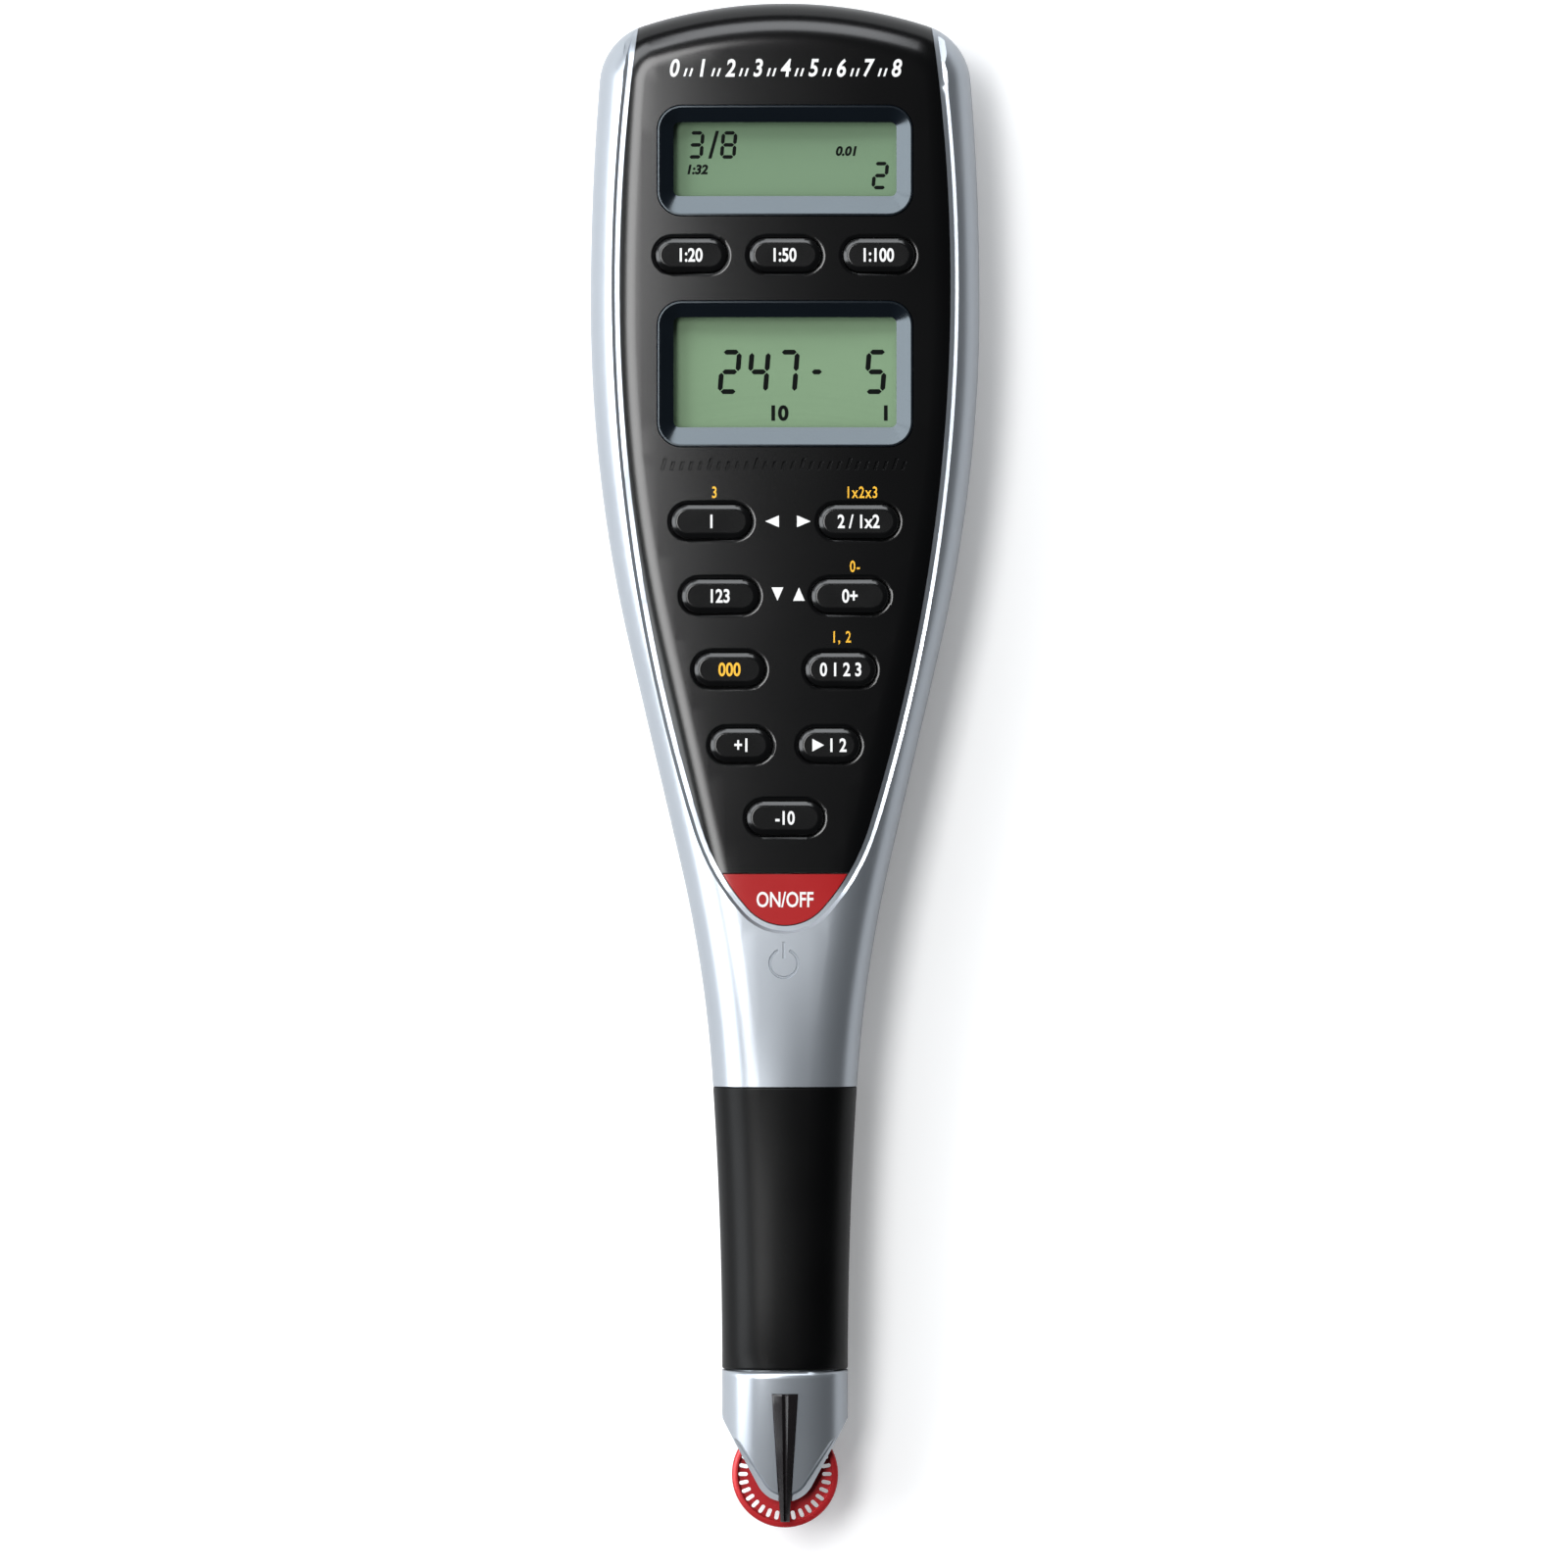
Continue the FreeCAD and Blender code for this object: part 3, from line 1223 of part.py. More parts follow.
# The pieces, from the face to the back and then down to the wheel
feature("front_shell", front_shell())
feature("face_plate", face_plate())
for name in WINDOWS:
    feature(name + "_bezel", bezel(name))
    display_parts(name)
for label, (row, side) in KEYS.items():
    key(label, row, side)
feature("power_key", power_key())
feature("upper_key_mat", upper_key_mat())
feature("lower_key_mat", lower_key_mat())
feature("main_board", main_board())
board_parts()
battery_parts()
coin_cell()
computer_jack()
feature("rear_shell", rear_shell())
feature("battery_door", battery_door())
feature("case_screws", case_screws())
feature("grip_sleeve", grip_sleeve())
feature("nose_front", nose_half(True))
feature("nose_rear", nose_half(False))
feature("nose_screws", nose_screws())
feature("pointer", pointer_form())
sensor_parts()
axle_pin()
wheel_bush()
measuring_wheel()
doc.recompute()

for item in doc.Objects:
    if "Invalid" in item.State or "Error" in item.State:
        raise RuntimeError("%s did not build: %s" % (item.Label, item.State))
os.makedirs("parts", exist_ok=True)
for label, item in NODES.items():
    shape = item.Shape
    if shape.isNull() or not shape.isValid() or not shape.Solids:
        raise RuntimeError("%s has no valid solid" % label)
    shape.exportStep("parts/%s.step" % label)
    print("%-24s %d solid(s), %.2f mm3" % (label, len(shape.Solids), shape.Volume))
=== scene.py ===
# %% [markdown]
# # A digital plan measure, dressed in Blender
#
# A plan measure is a small instrument that reads lengths off a drawing. A slotted wheel at its tip rolls along the
# paper, a sensor counts the slots, and two liquid crystal displays show the result. The solid model gives every
# piece its place and size in metres. This lesson gives each piece its finish, and rebuilds the ones that need finer
# shapes: keys, windows, wheel, pointer, prints and the silver case.
#
# The instrument lies on its back. X runs across it, Y towards the displays and Z out of its face.

# %% Load the frame
import json
import math

import bpy
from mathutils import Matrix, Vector
from mathutils.interpolate import poly_3d_calc

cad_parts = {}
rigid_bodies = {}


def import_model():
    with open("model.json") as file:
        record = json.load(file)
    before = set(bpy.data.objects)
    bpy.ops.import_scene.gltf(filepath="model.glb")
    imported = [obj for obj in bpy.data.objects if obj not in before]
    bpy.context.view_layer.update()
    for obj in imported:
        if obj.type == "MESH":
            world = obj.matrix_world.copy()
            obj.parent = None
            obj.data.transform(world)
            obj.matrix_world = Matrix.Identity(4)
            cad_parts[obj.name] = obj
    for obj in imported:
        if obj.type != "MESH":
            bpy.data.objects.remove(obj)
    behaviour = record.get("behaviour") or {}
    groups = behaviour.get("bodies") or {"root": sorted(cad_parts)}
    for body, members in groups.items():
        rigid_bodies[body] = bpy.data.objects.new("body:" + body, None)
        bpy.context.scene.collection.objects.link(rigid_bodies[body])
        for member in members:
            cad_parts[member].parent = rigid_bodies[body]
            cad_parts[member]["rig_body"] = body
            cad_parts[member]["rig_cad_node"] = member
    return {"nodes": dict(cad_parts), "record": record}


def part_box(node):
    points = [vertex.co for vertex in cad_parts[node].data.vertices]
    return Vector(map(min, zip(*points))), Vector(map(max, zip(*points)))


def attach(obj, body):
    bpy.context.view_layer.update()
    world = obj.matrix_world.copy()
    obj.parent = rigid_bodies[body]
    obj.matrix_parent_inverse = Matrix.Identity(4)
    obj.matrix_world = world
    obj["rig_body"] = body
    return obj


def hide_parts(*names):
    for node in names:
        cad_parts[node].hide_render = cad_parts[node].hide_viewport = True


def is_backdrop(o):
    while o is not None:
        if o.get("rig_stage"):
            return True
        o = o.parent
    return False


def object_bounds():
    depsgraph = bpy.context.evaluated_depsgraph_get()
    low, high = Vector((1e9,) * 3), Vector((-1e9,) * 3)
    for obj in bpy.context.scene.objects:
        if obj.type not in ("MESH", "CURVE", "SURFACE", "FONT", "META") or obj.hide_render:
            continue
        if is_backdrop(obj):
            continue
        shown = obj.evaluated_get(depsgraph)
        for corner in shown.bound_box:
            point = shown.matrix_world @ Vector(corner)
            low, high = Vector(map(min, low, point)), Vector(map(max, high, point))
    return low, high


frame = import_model()
nodes = frame["nodes"]
cad_box = [list(corner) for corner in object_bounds()]
MM = 0.001
print(len(nodes), "pieces in the frame")

# %% [markdown]
# ## Picking things up
#
# Modelling operators act on whatever is selected, and the frame arrives with all of its pieces selected. So every
# step starts by letting go of everything. Faces and edges are then picked by a rule, such as "all faces that look
# up", in the same way that a modeller would click them one by one.

# %% Selection helpers
def let_go():
    if bpy.context.object and bpy.context.object.mode != "OBJECT":
        bpy.ops.object.mode_set(mode="OBJECT")
    bpy.ops.object.select_all(action="DESELECT")


def pick(obj):
    """Make one object the only one that is selected and active."""
    let_go()
    obj.select_set(True)
    bpy.context.view_layer.objects.active = obj
    return obj


def open_mesh(obj):
    """Open one mesh for editing, with all of it selected."""
    pick(obj)
    bpy.ops.object.mode_set(mode="EDIT")
    bpy.ops.mesh.select_all(action="SELECT")


def close_mesh():
    bpy.ops.object.mode_set(mode="OBJECT")


def pick_parts(obj, mode, rule):
    """Select the vertices, edges or faces of a mesh that a rule accepts, and leave edit mode open."""
    pick(obj)
    bpy.ops.object.mode_set(mode="EDIT")
    bpy.ops.mesh.select_mode(type=mode)
    bpy.ops.mesh.select_all(action="DESELECT")
    close_mesh()
    parts = {"VERT": obj.data.vertices, "EDGE": obj.data.edges, "FACE": obj.data.polygons}[mode]
    chosen = [part for part in parts if rule(part)]
    for part in chosen:
        part.select = True
    bpy.ops.object.mode_set(mode="EDIT")
    return len(chosen)


def tidy(obj, sharp=30):
    """Merge the slivers that cuts leave behind, and shade smoothly, with large faces leading over small ones."""
    open_mesh(obj)
    bpy.ops.mesh.remove_doubles(threshold=0.008 * MM)
    bpy.ops.mesh.dissolve_degenerate(threshold=0.004 * MM)
    close_mesh()
    bpy.ops.object.shade_smooth_by_angle(angle=math.radians(sharp))
    weighted = obj.modifiers.new("weighted", "WEIGHTED_NORMAL")
    weighted.keep_sharp = True
    bpy.ops.object.modifier_apply(modifier=weighted.name)
    return obj


def borrow_shading(obj, form, reach=0.02):
    """Where a face still lies on the rounded form that it was cut from, shade it with the form's smooth normals."""
    points, skin = obj.data.vertices, form.data
    normals = [corner.vector.copy() for corner in obj.data.corner_normals]
    for face in obj.data.polygons:
        for corner in face.loop_indices:
            spot = points[obj.data.loops[corner].vertex_index].co
            found, near, facing, index = form.closest_point_on_mesh(spot, distance=reach * MM)
            if found and facing.dot(face.normal) > 0.97:
                ring = [skin.vertices[number] for number in skin.polygons[index].vertices]
                shares = poly_3d_calc([point.co for point in ring], near)
                normals[corner] = sum((point.normal * share for point, share in zip(ring, shares)), Vector())
    obj.data.normals_split_custom_set(normals)
    return obj


def put_down(obj, name, body, slot_name, look, *replaced):
    """Close edit mode, settle the piece's place into its mesh, name it, and let it ride on its body."""
    pick(obj)
    bpy.ops.object.transform_apply(location=True, rotation=True, scale=True)
    obj.name = name
    obj.data.name = name
    obj.data.materials.clear()
    obj.data.materials.append(look)
    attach(obj, body)
    if replaced:
        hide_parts(*replaced)
    return obj


let_go()

# %% [markdown]
# ## The camera
#
# The photograph looks straight down on the face, with the measuring wheel at the foot of the picture. A long lens
# far away keeps the sides of the case from showing. The picture is square and holds 186.4 mm of the face, so the
# focal length follows from the distance.

# %% Camera
VIEW_WIDTH = 186.4 * MM
CAMERA_HEIGHT = 1.6
FACE_HEIGHT = 15.0 * MM
camera_data = bpy.data.cameras.new("long_lens")
camera = bpy.data.objects.new("long_lens", camera_data)
bpy.context.scene.collection.objects.link(camera)
camera.location = (-0.12 * MM, -2.17 * MM, CAMERA_HEIGHT)
camera_data.sensor_width = 36
camera_data.lens = 36 * (CAMERA_HEIGHT - FACE_HEIGHT) / VIEW_WIDTH
camera_data.clip_end = 20
bpy.context.scene.camera = camera
print("focal length %.0f mm" % camera_data.lens)

# %% [markdown]
# ## Floor and light
#
# The instrument lies on white paper under a large soft box, high up to the left, which gives the compact soft shadow
# to the lower right. Its edge just mirrors in the left side of the black plate. Three long strip lights stand low, from
# the left round to behind the head. Slopes that lean towards them light up as bright lines, and slopes that lean away
# stay black, which is what draws the keys, the wells and the window frames. The paper's colour is painted darker in
# reflections only: a painted grey reflection where the silver mirrors it, so that the rims of the case get a painted
# dark edge.

# %% Floor, lamps and world
def soft_box(name, place, target, width, height, watts, colour=(1, 1, 1)):
    light = bpy.data.lights.new(name, "AREA")
    light.shape = "RECTANGLE"
    light.size = width
    light.size_y = height
    light.energy = watts
    light.color = colour
    lamp = bpy.data.objects.new(name, light)
    bpy.context.scene.collection.objects.link(lamp)
    lamp.location = place
    aim = [t - p for t, p in zip(target, place)]
    from_down = math.atan2(math.hypot(aim[0], aim[1]), -aim[2])
    lamp.rotation_euler = (from_down, 0, math.atan2(aim[1], aim[0]) - math.pi / 2)
    return lamp


def spot_at(distance, from_zenith, bearing):
    """A place at a distance from the object, by its angle from straight up and its compass bearing from +X."""
    tilt, turn = math.radians(from_zenith), math.radians(bearing)
    along = distance * math.sin(tilt)
    return (along * math.cos(turn), along * math.sin(turn), distance * math.cos(tilt))


AIM = (0, 0, 0.01)
COOL = (0.94, 0.97, 1.0)
soft_box("main_light", spot_at(1.5, 20, 160), AIM, 0.9, 0.42, 13.0)
soft_box("left_strip", spot_at(1.2, 64, 180), AIM, 0.8, 0.8, 11.0, COOL)
soft_box("corner_strip", spot_at(1.2, 57, 135), AIM, 0.8, 0.53, 7.5, COOL)
soft_box("top_strip", spot_at(1.2, 57, 90), AIM, 0.8, 0.53, 7.0, COOL)
world = bpy.data.worlds.new("studio")
bpy.context.scene.world = world
world.use_nodes = True
background = world.node_tree.nodes["Background"]
background.inputs["Color"].default_value = (0.86, 0.93, 1.0, 1)
background.inputs["Strength"].default_value = 0.06
bpy.context.scene.view_settings.view_transform = "Standard"

bpy.ops.mesh.primitive_plane_add(size=6, location=(0, 0, -0.02 * MM))
floor = bpy.context.object
floor.name = "paper"
floor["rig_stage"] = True
paper = bpy.data.materials.new("white_paper")
paper.use_nodes = True
tree = paper.node_tree
shader = tree.nodes["Principled BSDF"]
shader.inputs["Roughness"].default_value = 0.9
shader.inputs["Emission Color"].default_value = (1, 1, 1, 1)
ray = tree.nodes.new("ShaderNodeLightPath")
glow = tree.nodes.new("ShaderNodeMath")
glow.operation = "MULTIPLY"
glow.inputs[1].default_value = 0.2
tree.links.new(ray.outputs["Is Camera Ray"], glow.inputs[0])
# Painted reflection: in glossy rays the paper's base colour drops from 0.93 to 0.63, so the silver mirrors a painted
# grey floor and its rims get a painted dark edge.
painted_reflection_grey = tree.nodes.new("ShaderNodeMath")
painted_reflection_grey.operation = "MULTIPLY_ADD"
painted_reflection_grey.inputs[1].default_value = -0.3
painted_reflection_grey.inputs[2].default_value = 0.93
tree.links.new(ray.outputs["Is Glossy Ray"], painted_reflection_grey.inputs[0])
tree.links.new(painted_reflection_grey.outputs[0], shader.inputs["Base Color"])
tree.links.new(glow.outputs[0], shader.inputs["Emission Strength"])
floor.data.materials.append(paper)
let_go()

# %% [markdown]
# ## Finishes
#
# No real surface is one flat colour. Paint has a fine grain, moulded plastic has a faint skin, rubber is mottled where
# hands have been. So every finish mixes two close colours in soft patches, lets the gloss vary a little, and has a
# fine grain that only bends the light. All three come from noise that is fixed to the piece itself, with its grain
# given in millimetres.

# %% Finish helper
def noise(tree, grain):
    """Noise in the piece's own coordinates, with features of about the given size in millimetres."""
    place = tree.nodes.new("ShaderNodeTexCoord")
    cloud = tree.nodes.new("ShaderNodeTexNoise")
    cloud.inputs["Scale"].default_value = 1000 / grain
    cloud.inputs["Detail"].default_value = 2.0
    tree.links.new(place.outputs["Object"], cloud.inputs["Vector"])
    return cloud.outputs["Fac"]


def finish(name, colour, other, gloss, grain=0.3, depth=0.004, patch=6.0, **sockets):
    """A finish between two colours, with its roughness between two values and a fine grain."""
    material = bpy.data.materials.new(name)
    material.use_nodes = True
    tree = material.node_tree
    shader = tree.nodes["Principled BSDF"]
    for socket, value in sockets.items():
        shader.inputs[socket.replace("_", " ")].default_value = value
    blend = tree.nodes.new("ShaderNodeMix")
    blend.data_type = "RGBA"
    blend.inputs["A"].default_value = (*colour, 1)
    blend.inputs["B"].default_value = (*other, 1)
    cloud = noise(tree, patch)
    tree.links.new(cloud, blend.inputs["Factor"])
    tree.links.new(blend.outputs["Result"], shader.inputs["Base Color"])
    sheen = tree.nodes.new("ShaderNodeMapRange")
    for socket, value in zip(("To Min", "To Max"), gloss):
        sheen.inputs[socket].default_value = value
    tree.links.new(cloud, sheen.inputs["Value"])
    tree.links.new(sheen.outputs["Result"], shader.inputs["Roughness"])
    bump = tree.nodes.new("ShaderNodeBump")
    bump.inputs["Strength"].default_value = 1.0
    bump.inputs["Distance"].default_value = depth * MM
    tree.links.new(noise(tree, grain), bump.inputs["Height"])
    tree.links.new(bump.outputs["Normal"], shader.inputs["Normal"])
    return material


# %% [markdown]
# The outer finishes: silver paint, glossy black for the plate and the keys, a dark blue-black for the window frames,
# slightly matt rubber for the sleeve, and red for the power key and the wheel. The base colours were set by
# comparing renders with the photograph, under the lamps above.

# %% Outer finishes
silver = finish("silver_paint", (0.46, 0.495, 0.54), (0.49, 0.525, 0.565), (0.29, 0.34), 0.6, 0.0012, 9, Metallic=0.78)
gloss_black = finish(
    "gloss_black", (0.0008, 0.0008, 0.0009), (0.0012, 0.0012, 0.0013), (0.19, 0.225), 0.7, 0.0006, 12,
    Specular_IOR_Level=0.48
)
frame_black = finish(
    "frame_blue_black", (0.0015, 0.003, 0.0055), (0.002, 0.004, 0.007), (0.22, 0.26), 0.5, 0.0008, 5,
    Specular_IOR_Level=0.9, Specular_Tint=(0.8, 0.92, 1.0, 1.0)
)
key_black = finish("key_black", (0.002, 0.002, 0.0021), (0.003, 0.003, 0.0031), (0.18, 0.22), 0.45, 0.001, 3)
key_red = finish(
    "key_red", (0.32, 0.010, 0.011), (0.35, 0.013, 0.014), (0.24, 0.28), 0.5, 0.0008, 5, Specular_IOR_Level=0.35
)
rubber = finish(
    "sleeve_rubber", (0.0012, 0.0012, 0.0013), (0.0018, 0.0018, 0.0019), (0.34, 0.40), 0.5, 0.002, 6,
    Specular_IOR_Level=0.16
)
pointer_grey = finish("pointer_black", (0.010, 0.008, 0.009), (0.014, 0.012, 0.013), (0.24, 0.30), 0.5, 0.001, 2)
wheel_red = finish("wheel_red", (0.48, 0.018, 0.022), (0.54, 0.022, 0.028), (0.24, 0.30), 0.4, 0.001, 2, Metallic=0.35)
rear_silver = finish("rear_silver", (0.47, 0.49, 0.53), (0.52, 0.54, 0.57), (0.34, 0.42), 0.5, 0.003, 9, Metallic=0.5)
white_print = finish("white_print", (0.74, 0.74, 0.73), (0.80, 0.80, 0.79), (0.45, 0.55), 0.4, 0.001, 1.5)
yellow_print = finish("yellow_print", (0.78, 0.40, 0.012), (0.86, 0.46, 0.016), (0.45, 0.55), 0.4, 0.001, 1.5)
upper_green = finish(
    "upper_display_green", (0.17, 0.265, 0.16), (0.18, 0.275, 0.17), (0.32, 0.38), 0.6, 0.0005, 14,
    Specular_IOR_Level=0.1
)
lower_green = finish(
    "lower_display_green", (0.21, 0.32, 0.19), (0.22, 0.33, 0.20), (0.32, 0.38), 0.6, 0.0005, 14,
    Specular_IOR_Level=0.1
)
segment_black = finish(
    "segment_black", (0.0015, 0.002, 0.0015), (0.002, 0.003, 0.002), (0.35, 0.42), 0.4, 0.0005, 2,
    Specular_IOR_Level=0.05
)
clear = finish("clear_window", (0.02, 0.03, 0.03), (0.03, 0.04, 0.04), (0.04, 0.08), 1.0, 0.0003, 10, Alpha=0.06)
print(len(bpy.data.materials), "finishes so far")

# %% [markdown]
# The inner finishes belong to pieces that only show when the case is opened: board, chips, silicone mats, steel and
# nickel contacts, bronze bush, plastic film. They are given here so that each solid from the frame gets its own.

# %% Inner finishes
INNER = {
    "board": finish("board_green", (0.018, 0.12, 0.045), (0.028, 0.15, 0.060), (0.30, 0.40), 0.6, 0.01, 3),
    "chip_black": finish("chip_black", (0.015, 0.015, 0.016), (0.022, 0.022, 0.023), (0.45, 0.6), 0.15, 0.006, 2),
    "silicone": finish("silicone_mat", (0.50, 0.50, 0.48), (0.56, 0.56, 0.54), (0.50, 0.62), 0.3, 0.006, 3),
    "contact_strip": finish("contact_strip", (0.10, 0.10, 0.105), (0.40, 0.30, 0.32), (0.5, 0.6), 0.2, 0.004, 0.4),
    "white_plastic": finish("white_plastic", (0.66, 0.66, 0.64), (0.72, 0.72, 0.70), (0.35, 0.45), 0.4, 0.006, 4),
    "cable_film": finish("cable_film", (0.55, 0.30, 0.08), (0.62, 0.36, 0.11), (0.25, 0.35), 0.3, 0.003, 1),
    "steel": finish("steel", (0.50, 0.50, 0.51), (0.58, 0.58, 0.59), (0.22, 0.34), 0.1, 0.002, 0.8, Metallic=1.0),
    "nickel": finish("nickel", (0.58, 0.55, 0.50), (0.66, 0.63, 0.58), (0.18, 0.28), 0.12, 0.001, 1, Metallic=1.0),
    "bronze": finish("bronze", (0.42, 0.24, 0.09), (0.50, 0.30, 0.13), (0.28, 0.40), 0.12, 0.003, 0.8, Metallic=1.0),
    "black_plastic": finish("black_plastic", (0.016, 0.016, 0.017), (0.024, 0.024, 0.025), (0.40, 0.5), 0.3, 0.006, 3),
}
print(len(INNER), "inner finishes")

# %% Finish of every slot
LOOKS = {
    "silver_plastic": silver,
    "black_plate": gloss_black,
    "grey_key": key_black,
    "red_key": key_red,
    "clear_window": clear,
    "display": lower_green,
    "rubber_sleeve": rubber,
    "red_wheel": wheel_red,
    "rear_plastic": rear_silver,
    **INNER,
}
print("slots with a finish:", len(LOOKS))

# %% [markdown]
# ## The plan outline of the case
#
# Seen from above, the case is a chain of arcs that run smoothly into each other: a gently curved top end, two
# shoulders, wide sides, straight flanks, a hollow neck and an almost straight grip. A maker draws such an outline
# first and takes every other line from it. Each arc keeps its centre when the outline is drawn in, so one function
# gives the outer wall, the inner wall and the edge of the border.

# %% Outline of the case
import numpy as np


def sweep(centre, radius, start, end, count):
    """Points along an arc, without its last one."""
    turns = np.linspace(start, end, count + 1)[:-1]
    return [(centre[0] + radius * math.cos(turn), centre[1] + radius * math.sin(turn)) for turn in turns]


def meeting(first, first_reach, second, second_reach):
    """The upper of the two points at given distances from two centres."""
    first = np.array(first)
    gap = np.array(second) - first
    length = math.hypot(*gap)
    along = (first_reach**2 - second_reach**2 + length**2) / (2 * length)
    aside = math.sqrt(first_reach**2 - along**2)
    unit = gap / length
    normal = np.array([-unit[1], unit[0]])
    return max(first + unit * along + normal * aside, first + unit * along - normal * aside, key=lambda p: p[1])


def turn_to(centre, target):
    return math.atan2(target[1] - centre[1], target[0] - centre[0])


def both_sides(right):
    """A closed outline from its right half, which starts on the middle line at the top."""
    left = [(-x, y) for x, y in reversed(right) if x > 1e-9]
    return np.array(right + left)


def case_outline(side=0.0, end=0.0):
    """The plan outline in millimetres, drawn in by one distance at the sides and another at the top end."""
    flank = math.radians(13.2)
    bend = 7.5 - 0.5 * (side + end)
    top, upper, lower, grip = (0, 35.4), (23.2 - 330, 55), (23.2 - 180, 55), (530.5, -72)
    shoulder = meeting(top, 55.5 - end - bend, upper, 330 - side - bend)
    down = np.array([-math.sin(flank), -math.cos(flank)])
    outward = np.array([math.cos(flank), -math.sin(flank)])
    flank_start = np.array(lower) + outward * 180
    to_grip = np.array(grip) - flank_start - outward * 157
    run = to_grip @ down + math.sqrt((to_grip @ down) ** 2 - to_grip @ to_grip + (523 - 157) ** 2)
    neck = flank_start + outward * 157 + down * run
    neck_turn = turn_to(grip, neck) % (2 * math.pi)
    right = sweep(top, 55.5 - end, math.pi / 2, turn_to(top, shoulder), 14)
    right += sweep(shoulder, bend, turn_to(top, shoulder), turn_to(upper, shoulder), 10)
    right += sweep(upper, 330 - side, turn_to(upper, shoulder), 0, 12)
    right += sweep(lower, 180 - side, 0, -flank, 18)
    right += [tuple(flank_start - outward * side + down * run * share) for share in (0, 0.25, 0.5, 0.75)]
    right += sweep(neck, 157 + side, math.pi - flank, neck_turn, 12)
    right += sweep(grip, 523 + side, neck_turn, math.pi, 16)
    right += [(7.5 - side, -72), (7.5 - side, -95.9)]
    return both_sides(right)


print("case outline:", len(case_outline()), "points")

# %% [markdown]
# ## The heights of the two faces
#
# From the side, the front face is level over the head, dips at the neck and drops to the nose, and the back rises a
# little at the grip. Across, both the head and the grip are crowned: hardly at the head, strongly at the grip. The
# solid uses one smooth NURBS curve through eight stations for this. Blender has the same kind of curve, so the same
# stations go into a curve object, and its points are read as a table of heights along the case.

# %% Heights along the case
STATIONS = [
    # place along Y, front height, radius of the crown across, rise of the back
    (100.9, 15.75, 230, 0),
    (0, 15.75, 230, 0),
    (-20, 15.75, 230, 0),
    (-28, 15.75, 230, 0),
    (-44.7, 14.4, 17, 1.05),
    (-60.3, 14.4, 17, 1.05),
    (-74.1, 14.4, 17, 1.05),
    (-95.9, 9.6, 17, 5.45),
]


def station_table(values):
    """Where a smooth curve through the stations runs: its place along Y and one value there."""
    curve = bpy.data.curves.new("stations", "CURVE")
    curve.dimensions = "3D"
    spline = curve.splines.new("NURBS")
    spline.points.add(len(STATIONS) - 1)
    for point, station, value in zip(spline.points, STATIONS, values):
        point.co = (0, station[0], value, 1)
    spline.order_u = 4
    spline.use_endpoint_u = True
    spline.resolution_u = 60
    holder = bpy.data.objects.new("stations", curve)
    mesh = bpy.data.meshes.new_from_object(holder)
    table = np.array(sorted((vertex.co.y, vertex.co.z) for vertex in mesh.vertices))
    bpy.data.objects.remove(holder)
    bpy.data.meshes.remove(mesh)
    return table


FRONT_TABLE = station_table([station[1] for station in STATIONS])
CROWN_TABLE = station_table([0.5 / station[2] for station in STATIONS])
REAR_TABLE = station_table([station[3] - 0.05 for station in STATIONS])
EDGE_ROUND = 5.5
PARTING = 8.0


def read(table, y):
    return np.interp(y, table[:, 0], table[:, 1])


def reach_inwards(plan, xy):
    """How far each point lies inside an outline, and the direction that leads further in."""
    start = plan
    run = np.roll(plan, -1, axis=0) - plan
    share = np.clip(((xy[:, None] - start) * run).sum(2) / (run**2).sum(1), 0, 1)
    away = xy[:, None] - (start + share[..., None] * run)
    nearest = np.argmin((away**2).sum(2), axis=1)
    run = run[nearest] / np.hypot(run[nearest, 0], run[nearest, 1])[:, None]
    inward = np.stack([run[:, 1], -run[:, 0]], 1)
    return (away[np.arange(len(xy)), nearest] * inward).sum(1), inward


def front_level(xy, side=0.0, end=0.0, drop=0.0, last=-74.0):
    """Height of the front face at points of the plan: the crown, and the ball-rounded edge round it."""
    rounding = EDGE_ROUND - side
    along = np.clip(xy[:, 1], last, None)
    depth, inward = reach_inwards(case_outline(side, end), xy)
    depth = np.clip(depth, 0, None)
    ball = xy + inward * np.clip(rounding - depth, 0, None)[:, None]
    radius = 0.5 / read(CROWN_TABLE, along)
    centre = read(FRONT_TABLE, along) - drop - radius + np.sqrt((radius - rounding) ** 2 - ball[:, 0] ** 2)
    edge = centre + np.sqrt(np.clip(rounding**2 - (rounding - depth) ** 2, 0, None))
    crown = read(FRONT_TABLE, along) - drop - read(CROWN_TABLE, along) * xy[:, 0] ** 2
    lean = np.abs(ball[:, 0]) / (radius - rounding) * np.abs(inward[:, 0])
    return np.where(depth < rounding * (1 - lean), edge, crown)


def rear_level(xy, side=0.0, end=0.0, lift=0.0, last=-74.0):
    """Height of the back at points of the plan."""
    rounding = EDGE_ROUND - side
    depth, _ = reach_inwards(case_outline(side, end), xy)
    depth = np.clip(depth, 0, rounding)
    rise = read(REAR_TABLE, np.clip(xy[:, 1], last, None))
    level = rise + rounding - np.sqrt(rounding**2 - (rounding - depth) ** 2)
    return np.clip(level, 0, None) + lift


print("face height over the wheel end and the head:", front_level(np.array([[0, -80.0], [0, 40.0]])).round(2))

# %% [markdown]
# ## Raising a rounded form from an outline
#
# A maker would saw the outline from a block and then round its edges over with a ball cutter. The same can be done
# with Inset: the outline face is drawn in again and again by shrinking steps, which leaves rings of clean quads round
# the edge. Cuts straight across then make a grid of the middle. All of this is done flat, with each ring parked 20 mm
# above the last, so that they do not mix. The last step gives every ring its true height.

# %% Rounded forms
LEVEL = 20 * MM
GRID_PITCH = 2.0
ROUND_STEPS = 10


